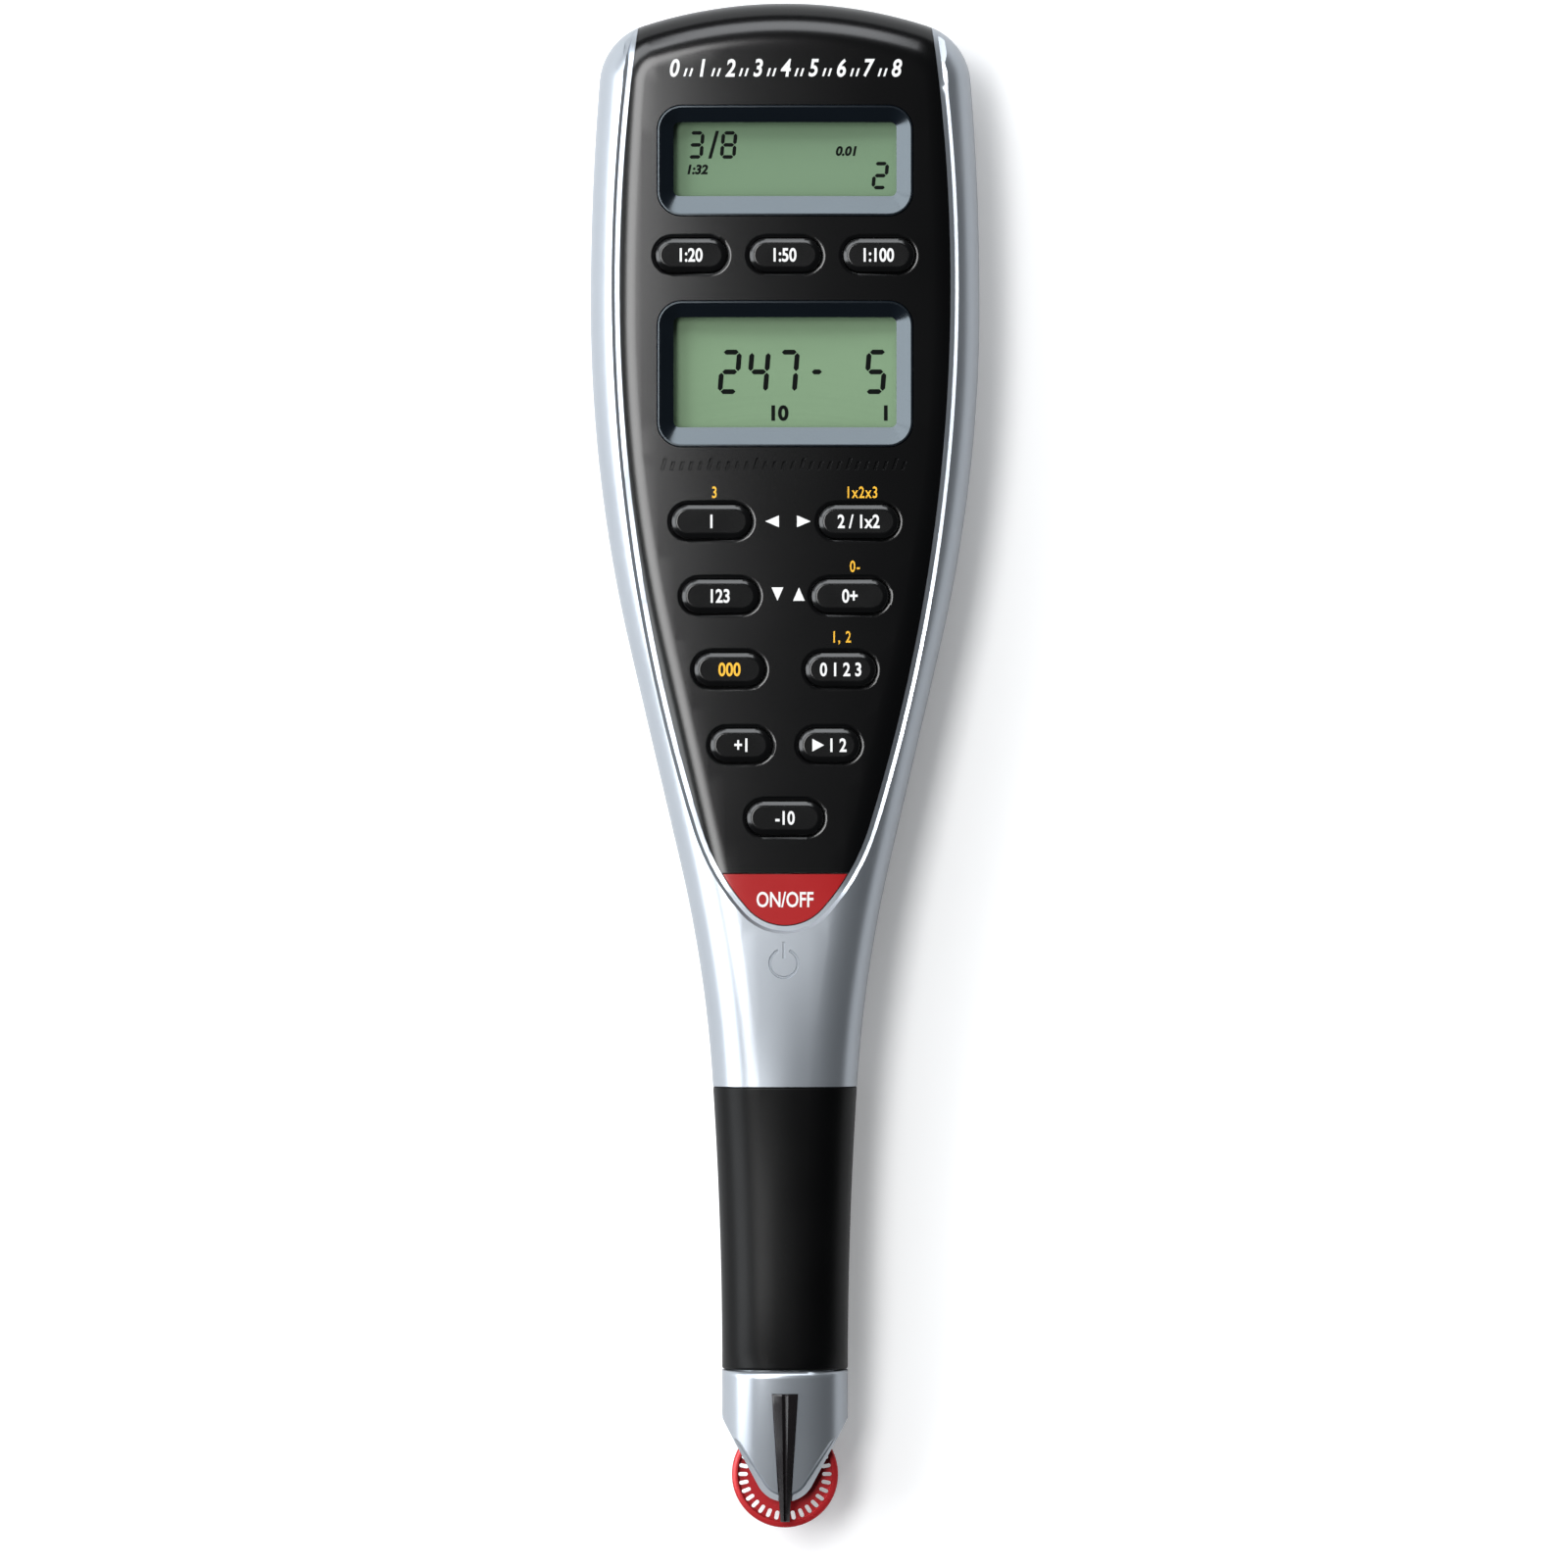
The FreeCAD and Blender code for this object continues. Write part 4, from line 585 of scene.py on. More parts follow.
def plan_face(name, outline):
    """One flat face with the given outline, drawn as a closed curve and filled."""
    curve = bpy.data.curves.new(name, "CURVE")
    curve.dimensions = "3D"
    spline = curve.splines.new("POLY")
    spline.points.add(len(outline) - 1)
    for point, (x, y) in zip(spline.points, outline):
        point.co = (x * MM, y * MM, 0, 1)
    spline.use_cyclic_u = True
    obj = bpy.data.objects.new(name, curve)
    bpy.context.scene.collection.objects.link(obj)
    pick(obj)
    bpy.ops.object.convert(target="MESH")
    bpy.ops.object.mode_set(mode="EDIT")
    bpy.ops.mesh.select_all(action="SELECT")
    bpy.ops.mesh.edge_face_add()
    return obj


def rise(inset=0.0):
    """Carry the selected face one level up, straight or drawn in."""
    if inset:
        bpy.ops.mesh.inset(thickness=inset * MM, depth=0, use_even_offset=False)
        bpy.ops.transform.translate(value=(0, 0, LEVEL))
    else:
        bpy.ops.mesh.extrude_region_move(TRANSFORM_OT_translate={"value": (0, 0, LEVEL)})


def cut_at(axis, places):
    """Cut all faces in sight straight across at the given places along an axis."""
    for place in places:
        spot, normal = [0, 0, 0], [0, 0, 0]
        spot[axis], normal[axis] = place * MM, 1
        bpy.ops.mesh.select_all(action="SELECT")
        bpy.ops.mesh.bisect(plane_co=spot, plane_no=normal, threshold=1e-7)


def grid_cut():
    """Cut the selected face into a grid, and leave the faces round it alone."""
    bpy.ops.mesh.hide(unselected=True)
    for axis in (0, 1):
        cut_at(axis, [(step + 0.5) * GRID_PITCH for step in range(-48, 49)])
    bpy.ops.mesh.reveal()


def set_levels(obj, *rules):
    """Give every level its true height: a number, or a rule that reads the plan. The last rule serves all above it."""
    close_mesh()
    places = np.empty(len(obj.data.vertices) * 3)
    obj.data.vertices.foreach_get("co", places)
    places = places.reshape(-1, 3)
    level = np.clip((places[:, 2] / LEVEL).round().astype(int), 0, len(rules) - 1)
    for number, rule in enumerate(rules):
        chosen = level == number
        if not chosen.any():
            continue
        xy = places[chosen, :2] / MM
        places[chosen, 2] = (rule(xy) if callable(rule) else rule) * MM
    obj.data.vertices.foreach_set("co", places.ravel())
    obj.data.update()
    return obj


def turn_outwards(obj):
    """Merge doubles and point the faces outwards."""
    open_mesh(obj)
    bpy.ops.mesh.remove_doubles(threshold=1e-7)
    bpy.ops.mesh.normals_make_consistent(inside=False)
    close_mesh()
    return obj


def twin(obj, name):
    """A second object with its own mesh."""
    pick(obj)
    bpy.ops.object.duplicate()
    copy = bpy.context.object
    copy.name = name
    return copy


def unite(first, *others):
    pick(first)
    for other in others:
        other.select_set(True)
    bpy.ops.object.join()
    return first


def body_form(name, side=0.0, end=0.0, drop=0.0, waist=PARTING):
    """The closed form of the whole instrument, drawn in at the sides, at the top end and under both faces."""
    rounding = EDGE_ROUND - side
    front = plan_face(name, case_outline(side, end))
    rise()
    turns = [0.5 * math.pi * step / ROUND_STEPS for step in range(ROUND_STEPS + 1)]
    for turn, last in zip(turns[1:], turns):
        rise(rounding * (math.cos(last) - math.cos(turn)))
    grid_cut()
    pick_parts(front, "FACE", lambda face: face.center.z < 0.1 * LEVEL)
    bpy.ops.mesh.delete(type="ONLY_FACE")
    close_mesh()
    rear = twin(front, name + "_rear")
    set_levels(front, waist, lambda xy: front_level(xy, side, end, drop))
    set_levels(rear, waist, lambda xy: rear_level(xy, side, end, drop))
    return turn_outwards(unite(front, rear))

# %% [markdown]
# ## Cutting tools
#
# The silver case is the rounded form minus its inside, minus the stepped bed of the black plate, minus a hole for
# every key and window. Each of these is a closed tool, and a Boolean modifier takes it away. The tools follow the
# height of the face, so that a step or a chamfer keeps its depth where the face curves down.

# %% Tools and cuts
def carve(obj, tool, operation="DIFFERENCE", keep=False):
    """Take a tool away from a piece, or keep what they share, and throw the tool away."""
    pick(obj)
    modifier = obj.modifiers.new("carve", "BOOLEAN")
    modifier.operation = operation
    modifier.solver = "EXACT"
    modifier.object = tool
    bpy.ops.object.modifier_apply(modifier=modifier.name)
    if not keep:
        bpy.data.objects.remove(tool)
    return obj


def saw(obj, place, away):
    """Saw a solid along a plane, drop the part on the side that the arrow points to, and close the cut."""
    open_mesh(obj)
    spot = [part * MM for part in place]
    bpy.ops.mesh.bisect(plane_co=spot, plane_no=away, use_fill=True, clear_outer=True, threshold=2e-6)
    close_mesh()
    return obj


def panel_outline(border=0.0):
    """The outline of the black plate and the red key, widened by a border, and open past the top end."""
    tip, side = (0, -13.05), (19.7 - 218, 57)
    tip_radius, corner_radius, side_radius = 6 + border, 26 + border, 218 + border
    corner = meeting(tip, corner_radius - tip_radius, side, side_radius - corner_radius)
    top = math.asin(38.9 / side_radius)
    right = [(side[0] + side_radius * math.cos(top), 95.9)]
    right += sweep(side, side_radius, top, turn_to(side, corner), 34)[1:]
    right += sweep(corner, corner_radius, turn_to(side, corner), turn_to(corner, tip), 8)
    right += sweep(tip, tip_radius, turn_to(corner, tip), -math.pi / 2, 12)
    right += [(0, -19.05 - border)]
    return both_sides(right)


def pill_outline(length, width, x, y, steps=25):
    radius = 0.5 * width
    reach = 0.5 * length - radius
    turns = np.linspace(-0.5 * math.pi, 0.5 * math.pi, steps)[::-1]
    right = [(x + reach + radius * math.cos(turn), y + radius * math.sin(turn)) for turn in turns]
    left = [(x - reach - radius * math.cos(turn), y + radius * math.sin(turn)) for turn in turns[::-1]]
    return np.array(right + left)


CORNER_STEPS = 12


def window_outline(half_x, half_y, corner, y):
    points = []
    for x_side, y_side, start in ((1, 1, 90), (1, -1, 0), (-1, -1, -90), (-1, 1, -180)):
        for turn in np.radians(np.linspace(start, start - 90, CORNER_STEPS)):
            reach = (half_x - corner + corner * abs(math.cos(turn)), half_y - corner + corner * abs(math.sin(turn)))
            points.append((x_side * reach[0], y + y_side * reach[1]))
    return np.array(points)


def shaft(name, outline, top, low):
    """A straight tool between two heights."""
    obj = plan_face(name, outline)
    rise()
    return turn_outwards(set_levels(obj, top, low))


def border_level(xy):
    """The black plate and the lip round it lie a step below the silver face."""
    return front_level(xy, 0.35, 0.0, 0.35)


KEYS = {
    # name: place across, place along, length
    "scale_a_key": (-11.15, 60.7, 8.5),
    "scale_b_key": (0, 60.7, 8.5),
    "scale_c_key": (11.15, 60.7, 8.5),
    "length_key": (-8.75, 29.03, 9.5),
    "area_key": (8.75, 29.03, 9.5),
    "recall_key": (-7.7, 20.17, 9.15),
    "memory_key": (7.7, 20.17, 9.15),
    "set_key": (-6.6, 11.44, 8.4),
    "count_key": (6.6, 11.44, 8.4),
    "constant_key": (-5.25, 2.45, 7.3),
    "send_key": (5.25, 2.45, 7.3),
    "subtract_key": (0, -6.2, 9.1),
}
WINDOWS = {"upper": (71.95, 6.65), "lower": (46.6, 8.75)}
KEY_WIDTH = 4.0
KEY_GAP = 0.15
WELL_WIDE = 0.4
WELL_DROP = 0.19
TOOL_TOP = 22
FACE_BACK = PARTING + 0.6


def well_tools():
    """One tool with a chamfered shaft for every key and a straight one for every window."""
    shafts = []
    for name, (x, y, length) in KEYS.items():
        wide = 2 * (KEY_GAP + 2 * WELL_WIDE)
        obj = plan_face(name + "_well", pill_outline(length + wide, KEY_WIDTH + wide, x, y))
        rise()
        rise(2 * WELL_WIDE)
        rise()
        above, below = (lambda xy: border_level(xy) + WELL_DROP), (lambda xy: border_level(xy) - WELL_DROP)
        shafts.append(turn_outwards(set_levels(obj, TOOL_TOP, above, below, FACE_BACK)))
    for name, (y, half) in WINDOWS.items():
        shafts.append(shaft(name + "_shaft", window_outline(15.28, half, 3, y), TOOL_TOP, FACE_BACK))
    return unite(*shafts)


print(len(KEYS), "keys and", len(WINDOWS), "windows")

# %% [markdown]
# ## The solids that the case is cut from
#
# The head of the case is 1.6 mm thick at the sides and 2.6 mm at the ends and faces. Behind the neck it goes on as a
# thinner tube that the rubber sleeve hides. Both are sawn from rounded forms and joined. Only the front half is kept,
# sawn off at the parting line: the back comes from the solid model. The photograph doesn't show the parting, so the
# fine bevel that makes its seam is what such cases have.

# %% Case solids
head_form = body_form("head_form", waist=7.9)
head = saw(twin(head_form, "head"), (0, -38.2, 0), (0, -1, 0))
tube = saw(body_form("tube", 1.2, 1.2, 1.2, 7.8), (0, -72.1, 0), (0, -1, 0))
tube = saw(tube, (0, -37, 0), (0, 1, 0))
case_solid = carve(head, tube, "UNION")
hollow = saw(body_form("hollow", 1.6, 2.6, 2.6, 7.7), (0, -36.2, 0), (0, -1, 0))
bore = saw(body_form("bore", 2.6, 2.6, 2.65, 7.6), (0, -35.9, 0), (0, 1, 0))
hollow = carve(hollow, bore, "UNION")
SEAM = 0.12
front = saw(case_solid, (0, 0, PARTING), (0, 0, -1))
pick_parts(front, "FACE", lambda face: abs(face.center.z / MM - PARTING) < 1e-4 and abs(face.normal.z) > 0.99)
bpy.ops.mesh.select_mode(type="EDGE")
bpy.ops.mesh.region_to_loop()
bpy.ops.mesh.bevel(offset=SEAM * MM, segments=1, affect="EDGES")
close_mesh()
carve(front, hollow)
print("front half:", len(front.data.polygons), "faces")

# %% [markdown]
# ## The silver front
#
# A step runs round the black plate on the silver face. On the photograph it is a narrow slope: dark on the left,
# bright on the right. The tool for it leans outwards, so that the cut leaves that slope, and its floor is the silver
# lip that frames the plate.

# %% Silver front
PLATE_FOOT = 9.6
RED_EDGE = -12.73
recess = plan_face("recess", panel_outline(1.3))
rise()
rise(0.75)
grid_cut()
recess = set_levels(recess, TOOL_TOP, lambda xy: front_level(xy) + 0.35, border_level)
carve(front, turn_outwards(recess))
seat = body_form("seat", 1.75, 1.4, 1.75)
carve(front, carve(shaft("room", panel_outline(), TOOL_TOP, PLATE_FOOT), seat, keep=True))
wells = well_tools()
carve(front, wells, keep=True)
key_room = saw(shaft("key_room", panel_outline(), TOOL_TOP, FACE_BACK), (0, RED_EDGE, 0), (0, 1, 0))
carve(front, key_room)
print("silver front:", len(front.data.polygons), "faces")

# %% [markdown]
# ## The black plate
#
# The plate is 1.4 mm thick, glossy, and crowned like the case, and it runs over the rounded top end. It is what the
# border form and the plate's outline share, minus a second form that hollows it from behind. The same wells as in the
# case are cut through it, so that their chamfers catch the light at the lower right of each key. A row of fine strokes
# is engraved between the lower window and the keys. The red key is hollowed underneath, where nobody sees it, so that
# it clears the rigid dome of the silicone mat as it goes down. A real key would press on a dome that gives way.

# %% Black plate and red key
border_form = body_form("border_form", 0.35, 0.0, 0.35)
border = twin(border_form, "border")
plate_tool = saw(shaft("plate_tool", panel_outline(-0.05), TOOL_TOP, PLATE_FOOT), (0, RED_EDGE, 0), (0, -1, 0))
plate = carve(twin(border, "plate"), plate_tool, "INTERSECT")
carve(plate, seat)
carve(plate, wells)
strokes = []
for step in range(27):
    x, tall = -14.9 + 1.1 * step, (1.5 if step % 5 == 0 else 1.1)
    foot, head, lean = 35.1, 35.1 + tall, 0.3 * tall
    stroke = plan_face("stroke", [(x, foot), (x + 0.5, foot), (x + 0.5 + lean, head), (x + lean, head)])
    rise()
    rise(0.19)
    set_levels(stroke, TOOL_TOP, lambda xy: border_level(xy) + 0.03, lambda xy: border_level(xy) - 0.09)
    strokes.append(turn_outwards(stroke))
carve(plate, unite(*strokes))
red_tool = saw(shaft("red_tool", panel_outline(-0.12), TOOL_TOP, 12.4), (0, RED_EDGE - KEY_GAP, 0), (0, 1, 0))
red = carve(border, red_tool, "INTERSECT")
carve(red, shaft("dome_room", pill_outline(3.3, 3.3, 0, -15.29), 13.25, 12))
print("plate:", len(plate.data.polygons), "faces; red key:", len(red.data.polygons), "faces")

# %% [markdown]
# ## Rubber sleeve
#
# The grip is a smooth rubber tube pulled over the thin end of the case. Its outside runs flush with the silver, so it
# is the same rounded form, sawn off at both ends, with its end rims softened as moulded rubber has them.

# %% Sleeve
sleeve = saw(body_form("sleeve", waist=7.9), (0, -38.22, 0), (0, 1, 0))
sleeve = saw(sleeve, (0, -71.98, 0), (0, -1, 0))
pick_parts(sleeve, "FACE", lambda face: abs(face.normal.y) > 0.99)
bpy.ops.mesh.select_mode(type="EDGE")
bpy.ops.mesh.region_to_loop()
bpy.ops.mesh.bevel(offset=0.3 * MM, segments=3, affect="EDGES")
close_mesh()
carve(sleeve, body_form("sleeve_room", 1.2, 1.2, 1.2, 7.8))
print("sleeve:", len(sleeve.data.polygons), "faces")

# %% [markdown]
# ## Silver nose
#
# The nose holds the wheel. From above it is a wedge with a ledge along both sides: the lower block tapers to a round
# tip, and a smaller cap stands on it. The curved top is a sheet with its cuts packed close where the sides roll over,
# and the wedge is cut from it as what both share.

# %% Tools for the nose
NOSE_TOP = -72.1
WHEEL_PLACE = (0, -84.55, PARTING)


def nose_outline(inset=0.0):
    radius, centre, corner = 3.63 - inset, (0, -84.1), (7.5, -77.8)
    turn = turn_to(centre, corner) - math.acos(radius / math.hypot(corner[0], corner[1] - centre[1]))
    right = [(8.5, -67.1), (8.5, -75.6), corner] + sweep(centre, radius, turn, -math.pi / 2, 16)
    return both_sides(right + [(0, centre[1] - radius)])


def nose_level(xy):
    """The top of the nose, with a small chamfer where it meets the sleeve."""
    chamfer = np.clip(xy[:, 1] + 72.5, 0, None) * 0.7
    return np.clip(front_level(xy, last=-95.9) - chamfer, 8.2, None)


def disc(name, radius, low, high, place):
    bpy.ops.mesh.primitive_cylinder_add(
        vertices=96, radius=radius * MM, depth=(high - low) * MM, location=[part * MM for part in place]
    )
    obj = bpy.context.object
    obj.name = name
    bpy.ops.transform.translate(value=(0, 0, (0.5 * (low + high) - place[2]) * MM))
    bpy.ops.object.transform_apply(location=True)
    return obj


def block(name, low, high):
    """A closed box between two corners, to cut with."""
    bpy.ops.mesh.primitive_cube_add(size=MM, location=[0.5 * (a + b) * MM for a, b in zip(low, high)])
    obj = bpy.context.object
    obj.name = name
    obj.scale = [b - a for a, b in zip(low, high)]
    bpy.ops.object.transform_apply(location=True, scale=True)
    return obj


print("nose outline:", len(nose_outline()), "points")

# %% [markdown]
# ## Pointer
#
# A slim black bar is let into the top of the nose and reaches out over the wheel, to show which point of the rim
# counts. It is shaped as a rectangle two units wide, cut lengthwise where its chamfers and its groove run, and then
# drawn in to its true taper. The same bar, a little larger, cuts its own slot into the nose.

# %% Pointer
POINTER_STOPS = ([-90.15, -82.0, -74.8], [10.65, front_level(np.array([[0, -82.0]]), last=-95.9)[0] + 0.1, 13.63])


def pointer_bar(name, gap=0.0):
    ends = (-74.8 + gap, -90.15 - gap)
    bar = plan_face(name, [(-1, ends[0]), (1, ends[0]), (1, ends[1]), (-1, ends[1])])
    rise()
    cut_at(0, (-0.88, -0.26, 0, 0.26, 0.88))
    cut_at(1, (-75.0, *range(-89, -75), -90.0))

    def under(xy):
        return np.interp(xy[:, 1], POINTER_STOPS[0], [9.8, 11.4, 12.53]) - gap

    def over(xy):
        if gap:
            return 20 + 0 * xy[:, 0]
        across = np.interp(np.abs(xy[:, 0]), [0, 0.26, 0.88, 1], [0.08, 0.34, 0.02, -0.14])
        ends_low = 0.14 * ((xy[:, 1] > -74.9) | (xy[:, 1] < -90.1))
        return np.interp(xy[:, 1], *POINTER_STOPS) + across - ends_low

    set_levels(bar, under, over)
    for vertex in bar.data.vertices:
        share = (-74.8 - vertex.co.y / MM) / 15.35
        vertex.co.x *= 1.52 - 0.96 * share + gap
    return turn_outwards(bar)


pointer = pointer_bar("pointer_bar")
print("pointer:", len(pointer.data.polygons), "faces")

# %% [markdown]
# The top sheet of the nose is narrow, so a dozen cuts along its rolled sides and one every half millimetre down its
# length are enough. What it shares with the wedge is the nose. Then the wheel, the sensor and the pointer get room.

# %% Nose front
def nose_grid():
    """Cut the faces in sight into the grid that the nose's skin needs."""
    rolled = 7.5 - EDGE_ROUND * (1 - np.cos(np.radians(np.arange(8, 90, 8))))
    cut_at(0, [*rolled, *-rolled, -1.5, -0.5, 0.5, 1.5])
    cut_at(1, [-72.5, *np.arange(-73.0, -88.4, -0.5)])


NOSE_PLAN = [(-7.5, NOSE_TOP), (7.5, NOSE_TOP), (7.5, -88.5), (-7.5, -88.5)]
nose = plan_face("nose", NOSE_PLAN)
rise()
bpy.ops.mesh.hide(unselected=True)
nose_grid()
bpy.ops.mesh.reveal()
nose = turn_outwards(set_levels(nose, PARTING + 0.04, nose_level))
nose_form = twin(nose, "nose_form")
nose_back_form = plan_face("nose_back_form", NOSE_PLAN)
nose_grid()
bpy.ops.mesh.select_all(action="SELECT")
bpy.ops.mesh.normals_make_consistent(inside=False)
bpy.ops.mesh.flip_normals()
set_levels(nose_back_form, lambda xy: rear_level(xy, last=-95.9))
print("the sheet for the back of the nose faces", "down" if nose_back_form.data.polygons[9].normal.z < 0 else "up")
wedge = shaft("wedge", nose_outline(), 10.75, 7.0)
cap = plan_face("cap", nose_outline(0.7))
rise()
rise(0.35)
rise()
cap = turn_outwards(set_levels(cap, 6.8, 10.75, 11.35, 22))
carve(nose, carve(wedge, cap, "UNION"), "INTERSECT")
tail = saw(body_form("tail", 2.6, 2.6, 2.65, 7.6), (0, -66.1, 0), (0, 1, 0))
tail = saw(saw(tail, (0, -72.6, 0), (0, -1, 0)), (0, 0, PARTING + 0.04), (0, 0, -1))
carve(nose, tail, "UNION")
carve(nose, pointer_bar("pointer_slot", 0.05))
carve(nose, disc("wheel_room", 6.75, 6.5, 9.5, WHEEL_PLACE))
carve(nose, block("sensor_room", (-3.25, -80.9, 5), (3.25, -66, 10.7)))
print("nose:", len(nose.data.polygons), "faces")

# %% [markdown]
# ## Measuring wheel
#
# The wheel is turned: a hub, a thin web and a rim with rounded edges. Its half section is drawn once and spun round
# the axle. One slot is modelled, copied round the hub until there are thirty-two, and all are cut out together. The
# nose hides part of the ring, so their number is an estimate.

# %% Wheel
def round_corner(corner, radius, start):
    turns = np.radians(np.linspace(start, start - 90, 4))
    return [(corner[0] + radius * math.cos(turn), corner[1] + radius * math.sin(turn)) for turn in turns]


half = [(1.62, 0), (1.62, 1.1), (1.72, 1.2), (2.5, 1.2), (2.6, 1.1), (2.6, 0.5), (5.6, 0.5), (5.6, 1.1), (5.7, 1.2)]
half += round_corner((6.05, 0.9), 0.3, 90)
section = half + [(radius, -height) for radius, height in reversed(half) if height > 0]
curve = bpy.data.curves.new("wheel", "CURVE")
curve.dimensions = "3D"
line = curve.splines.new("POLY")
line.points.add(len(section) - 1)
for point, (radius, height) in zip(line.points, section):
    point.co = (radius * MM, WHEEL_PLACE[1] * MM, (PARTING + height) * MM, 1)
line.use_cyclic_u = True
wheel = bpy.data.objects.new("wheel", curve)
bpy.context.scene.collection.objects.link(wheel)
pick(wheel)
bpy.ops.object.convert(target="MESH")
open_mesh(wheel)
axle = [part * MM for part in WHEEL_PLACE]
bpy.ops.mesh.spin(steps=128, angle=2 * math.pi, center=axle, axis=(0, 0, 1))
close_mesh()
turn_outwards(wheel)
slots = [shaft("slot", pill_outline(1.12, 0.5, 5.0, WHEEL_PLACE[1], 9), 10, 6)]
for number in range(31):
    slots.append(twin(slots[-1], "slot"))
    open_mesh(slots[-1])
    bpy.ops.transform.rotate(value=math.radians(11.25), orient_axis="Z", center_override=axle)
    close_mesh()
carve(wheel, unite(*slots))
print("wheel:", len(wheel.data.polygons), "faces")

# %% [markdown]
# ## Window frames
#
# Each display looks out through a frame whose sides slope down like a funnel. Four rings of points describe it: the
# foot, the outer rim on the crowned face, the inner rim, and the view opening on the lens. They are raised from one
# face, each upper ring is drawn to its own outline, and a bridge between the first and the last closes the tube.

# %% Window frames
def divided(outline, extra=8):
    """Add points along the four straight sides of a window outline, so that it can follow the crown."""
    points = []
    for index, point in enumerate(outline):
        points.append(point)
        if index % CORNER_STEPS == CORNER_STEPS - 1:
            after = outline[(index + 1) % len(outline)]
            points += [point + (after - point) * share for share in np.linspace(0, 1, extra + 2)[1:-1]]
    return np.array(points)


def redraw(obj, level, before, after):
    """Move the ring of one level from one outline to another."""
    for vertex in obj.data.vertices:
        if round(vertex.co.z / LEVEL) == level:
            nearest = np.argmin(((before - np.array(vertex.co[:2]) / MM) ** 2).sum(1))
            vertex.co.x, vertex.co.y = after[nearest] * MM


def window_frame(name):
    y, half = WINDOWS[name]
    view_half = {"upper": 4.4, "lower": 6.55}[name]
    outer = divided(window_outline(15.23, half - 0.05, 2.95, y))
    lip = divided(window_outline(15.13, half - 0.15, 2.85, y))
    inner = divided(window_outline(14.95, half - 0.33, 2.67, y))
    brink = divided(window_outline(14.83, half - 0.45, 2.55, y))
    view = divided(window_outline(13.26, view_half, 0.7, y + 0.2))
    obj = plan_face(name + "_frame", outer)
    for number in range(6):
        rise()
    close_mesh()
    for level, outline in ((2, lip), (3, inner), (4, brink), (5, view), (6, view)):
        redraw(obj, level, outer, outline)
    slopes = [lambda xy, drop=drop: border_level(xy) - drop for drop in (0.1, 0, 0, 0.08, 1.05)]
    set_levels(obj, 12.4, *slopes, 12.4)
    pick_parts(obj, "FACE", lambda face: len(face.vertices) > 4)
    bpy.ops.mesh.delete(type="ONLY_FACE")
    bpy.ops.mesh.select_mode(type="EDGE")
    bpy.ops.mesh.select_non_manifold()
    bpy.ops.mesh.bridge_edge_loops()
    close_mesh()
    turn_outwards(obj)
    foot = {"upper": (66.7, 77.6), "lower": (39.2, 54.4)}[name]
    return carve(obj, block("lens_room", (-14.3, foot[0], 12), (14.3, foot[1], 13.31)))


frames = {name: window_frame(name) for name in WINDOWS}
for name, obj in frames.items():
    print(name, "window frame:", len(obj.data.polygons), "faces")

# %% [markdown]
# ## Pieces that are right as they are
#
# The back of the case, its sliding door and the back of the nose already have their true shapes in the solid model.
# There, a mesh comes as loose triangles, each shaded flat. A merged copy shades smoothly, with its sharp edges kept.

# %% Merged copies
def merged(node):
    """A smooth-shaded copy of a solid."""
    copy = twin(nodes[node], node + "_merged")
    copy.parent = None
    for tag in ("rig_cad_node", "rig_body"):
        del copy[tag]
    open_mesh(copy)
    bpy.ops.mesh.remove_doubles(threshold=2e-6)
    close_mesh()
    return copy


back = merged("rear_shell")
door = merged("battery_door")
nose_back = merged("nose_rear")
print("back:", len(back.data.polygons), "triangles")

# %% [markdown]
# ## Keys
#
# All twelve black keys are one shape in several lengths: a pill-shaped cap with softly rounded edges, on a flange that
# holds it under the face. Each is raised from its outline: flange, cap wall, and shrinking rings for the slope round
# its top, which catches the light. The solid model says how high each one stands.

# %% Key caps
def key_cap(name):
    x, y, length = KEYS[name]
    low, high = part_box(name)
    foot, top = low[2] / MM, high[2] / MM - 0.02
    obj = plan_face(name + "_cap", pill_outline(length + 1.2, KEY_WIDTH + 1.2, x, y))
    rise()
    rise(0.6)
    rise()
    heights = [foot, foot + 0.7, foot + 0.7, top - 0.42]
    for inset, drop in ((0.03, 0.34), (0.06, 0.27), (0.34, 0.08), (0.10, 0.03), (0.12, 0.0), (0.06, 0.0)):
        rise(inset)
        heights.append(top - drop)
    return turn_outwards(set_levels(obj, *heights))


caps = {name: key_cap(name) for name in KEYS}
print(len(caps), "caps of", len(caps["length_key"].data.polygons), "faces")

# %% [markdown]
# ## Prints
#
# Legends are thin flat meshes laid a few hundredths of a millimetre over what carries them. Text comes from Blender's
# own font, made a mesh, narrowed and slanted like a condensed printing face. Every point of a print on the plate then
# gets the height of the crowned face under it, plus the thickness of the ink. Apart from ON/OFF on the red key, only
# plain numbers and signs are printed, in place of the words on the real one.

# %% Print helpers
INK = 0.018
prints = []


def lay(obj, name, body, material, level):
    """Lay a flat mesh on a surface, give it its ink, and let it ride."""
    points = obj.data.vertices
    xy = np.array([(point.co.x / MM, point.co.y / MM) for point in points])
    heights = level(xy) if callable(level) else np.full(len(xy), level)
    for point, height in zip(points, heights):
        point.co.z = height * MM
    obj.name = name
    obj.data.name = name
    obj.data.materials.clear()
    obj.data.materials.append(material)
    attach(obj, body)
    prints.append(obj)
    return obj


def on_plate(xy):
    return border_level(xy) + INK


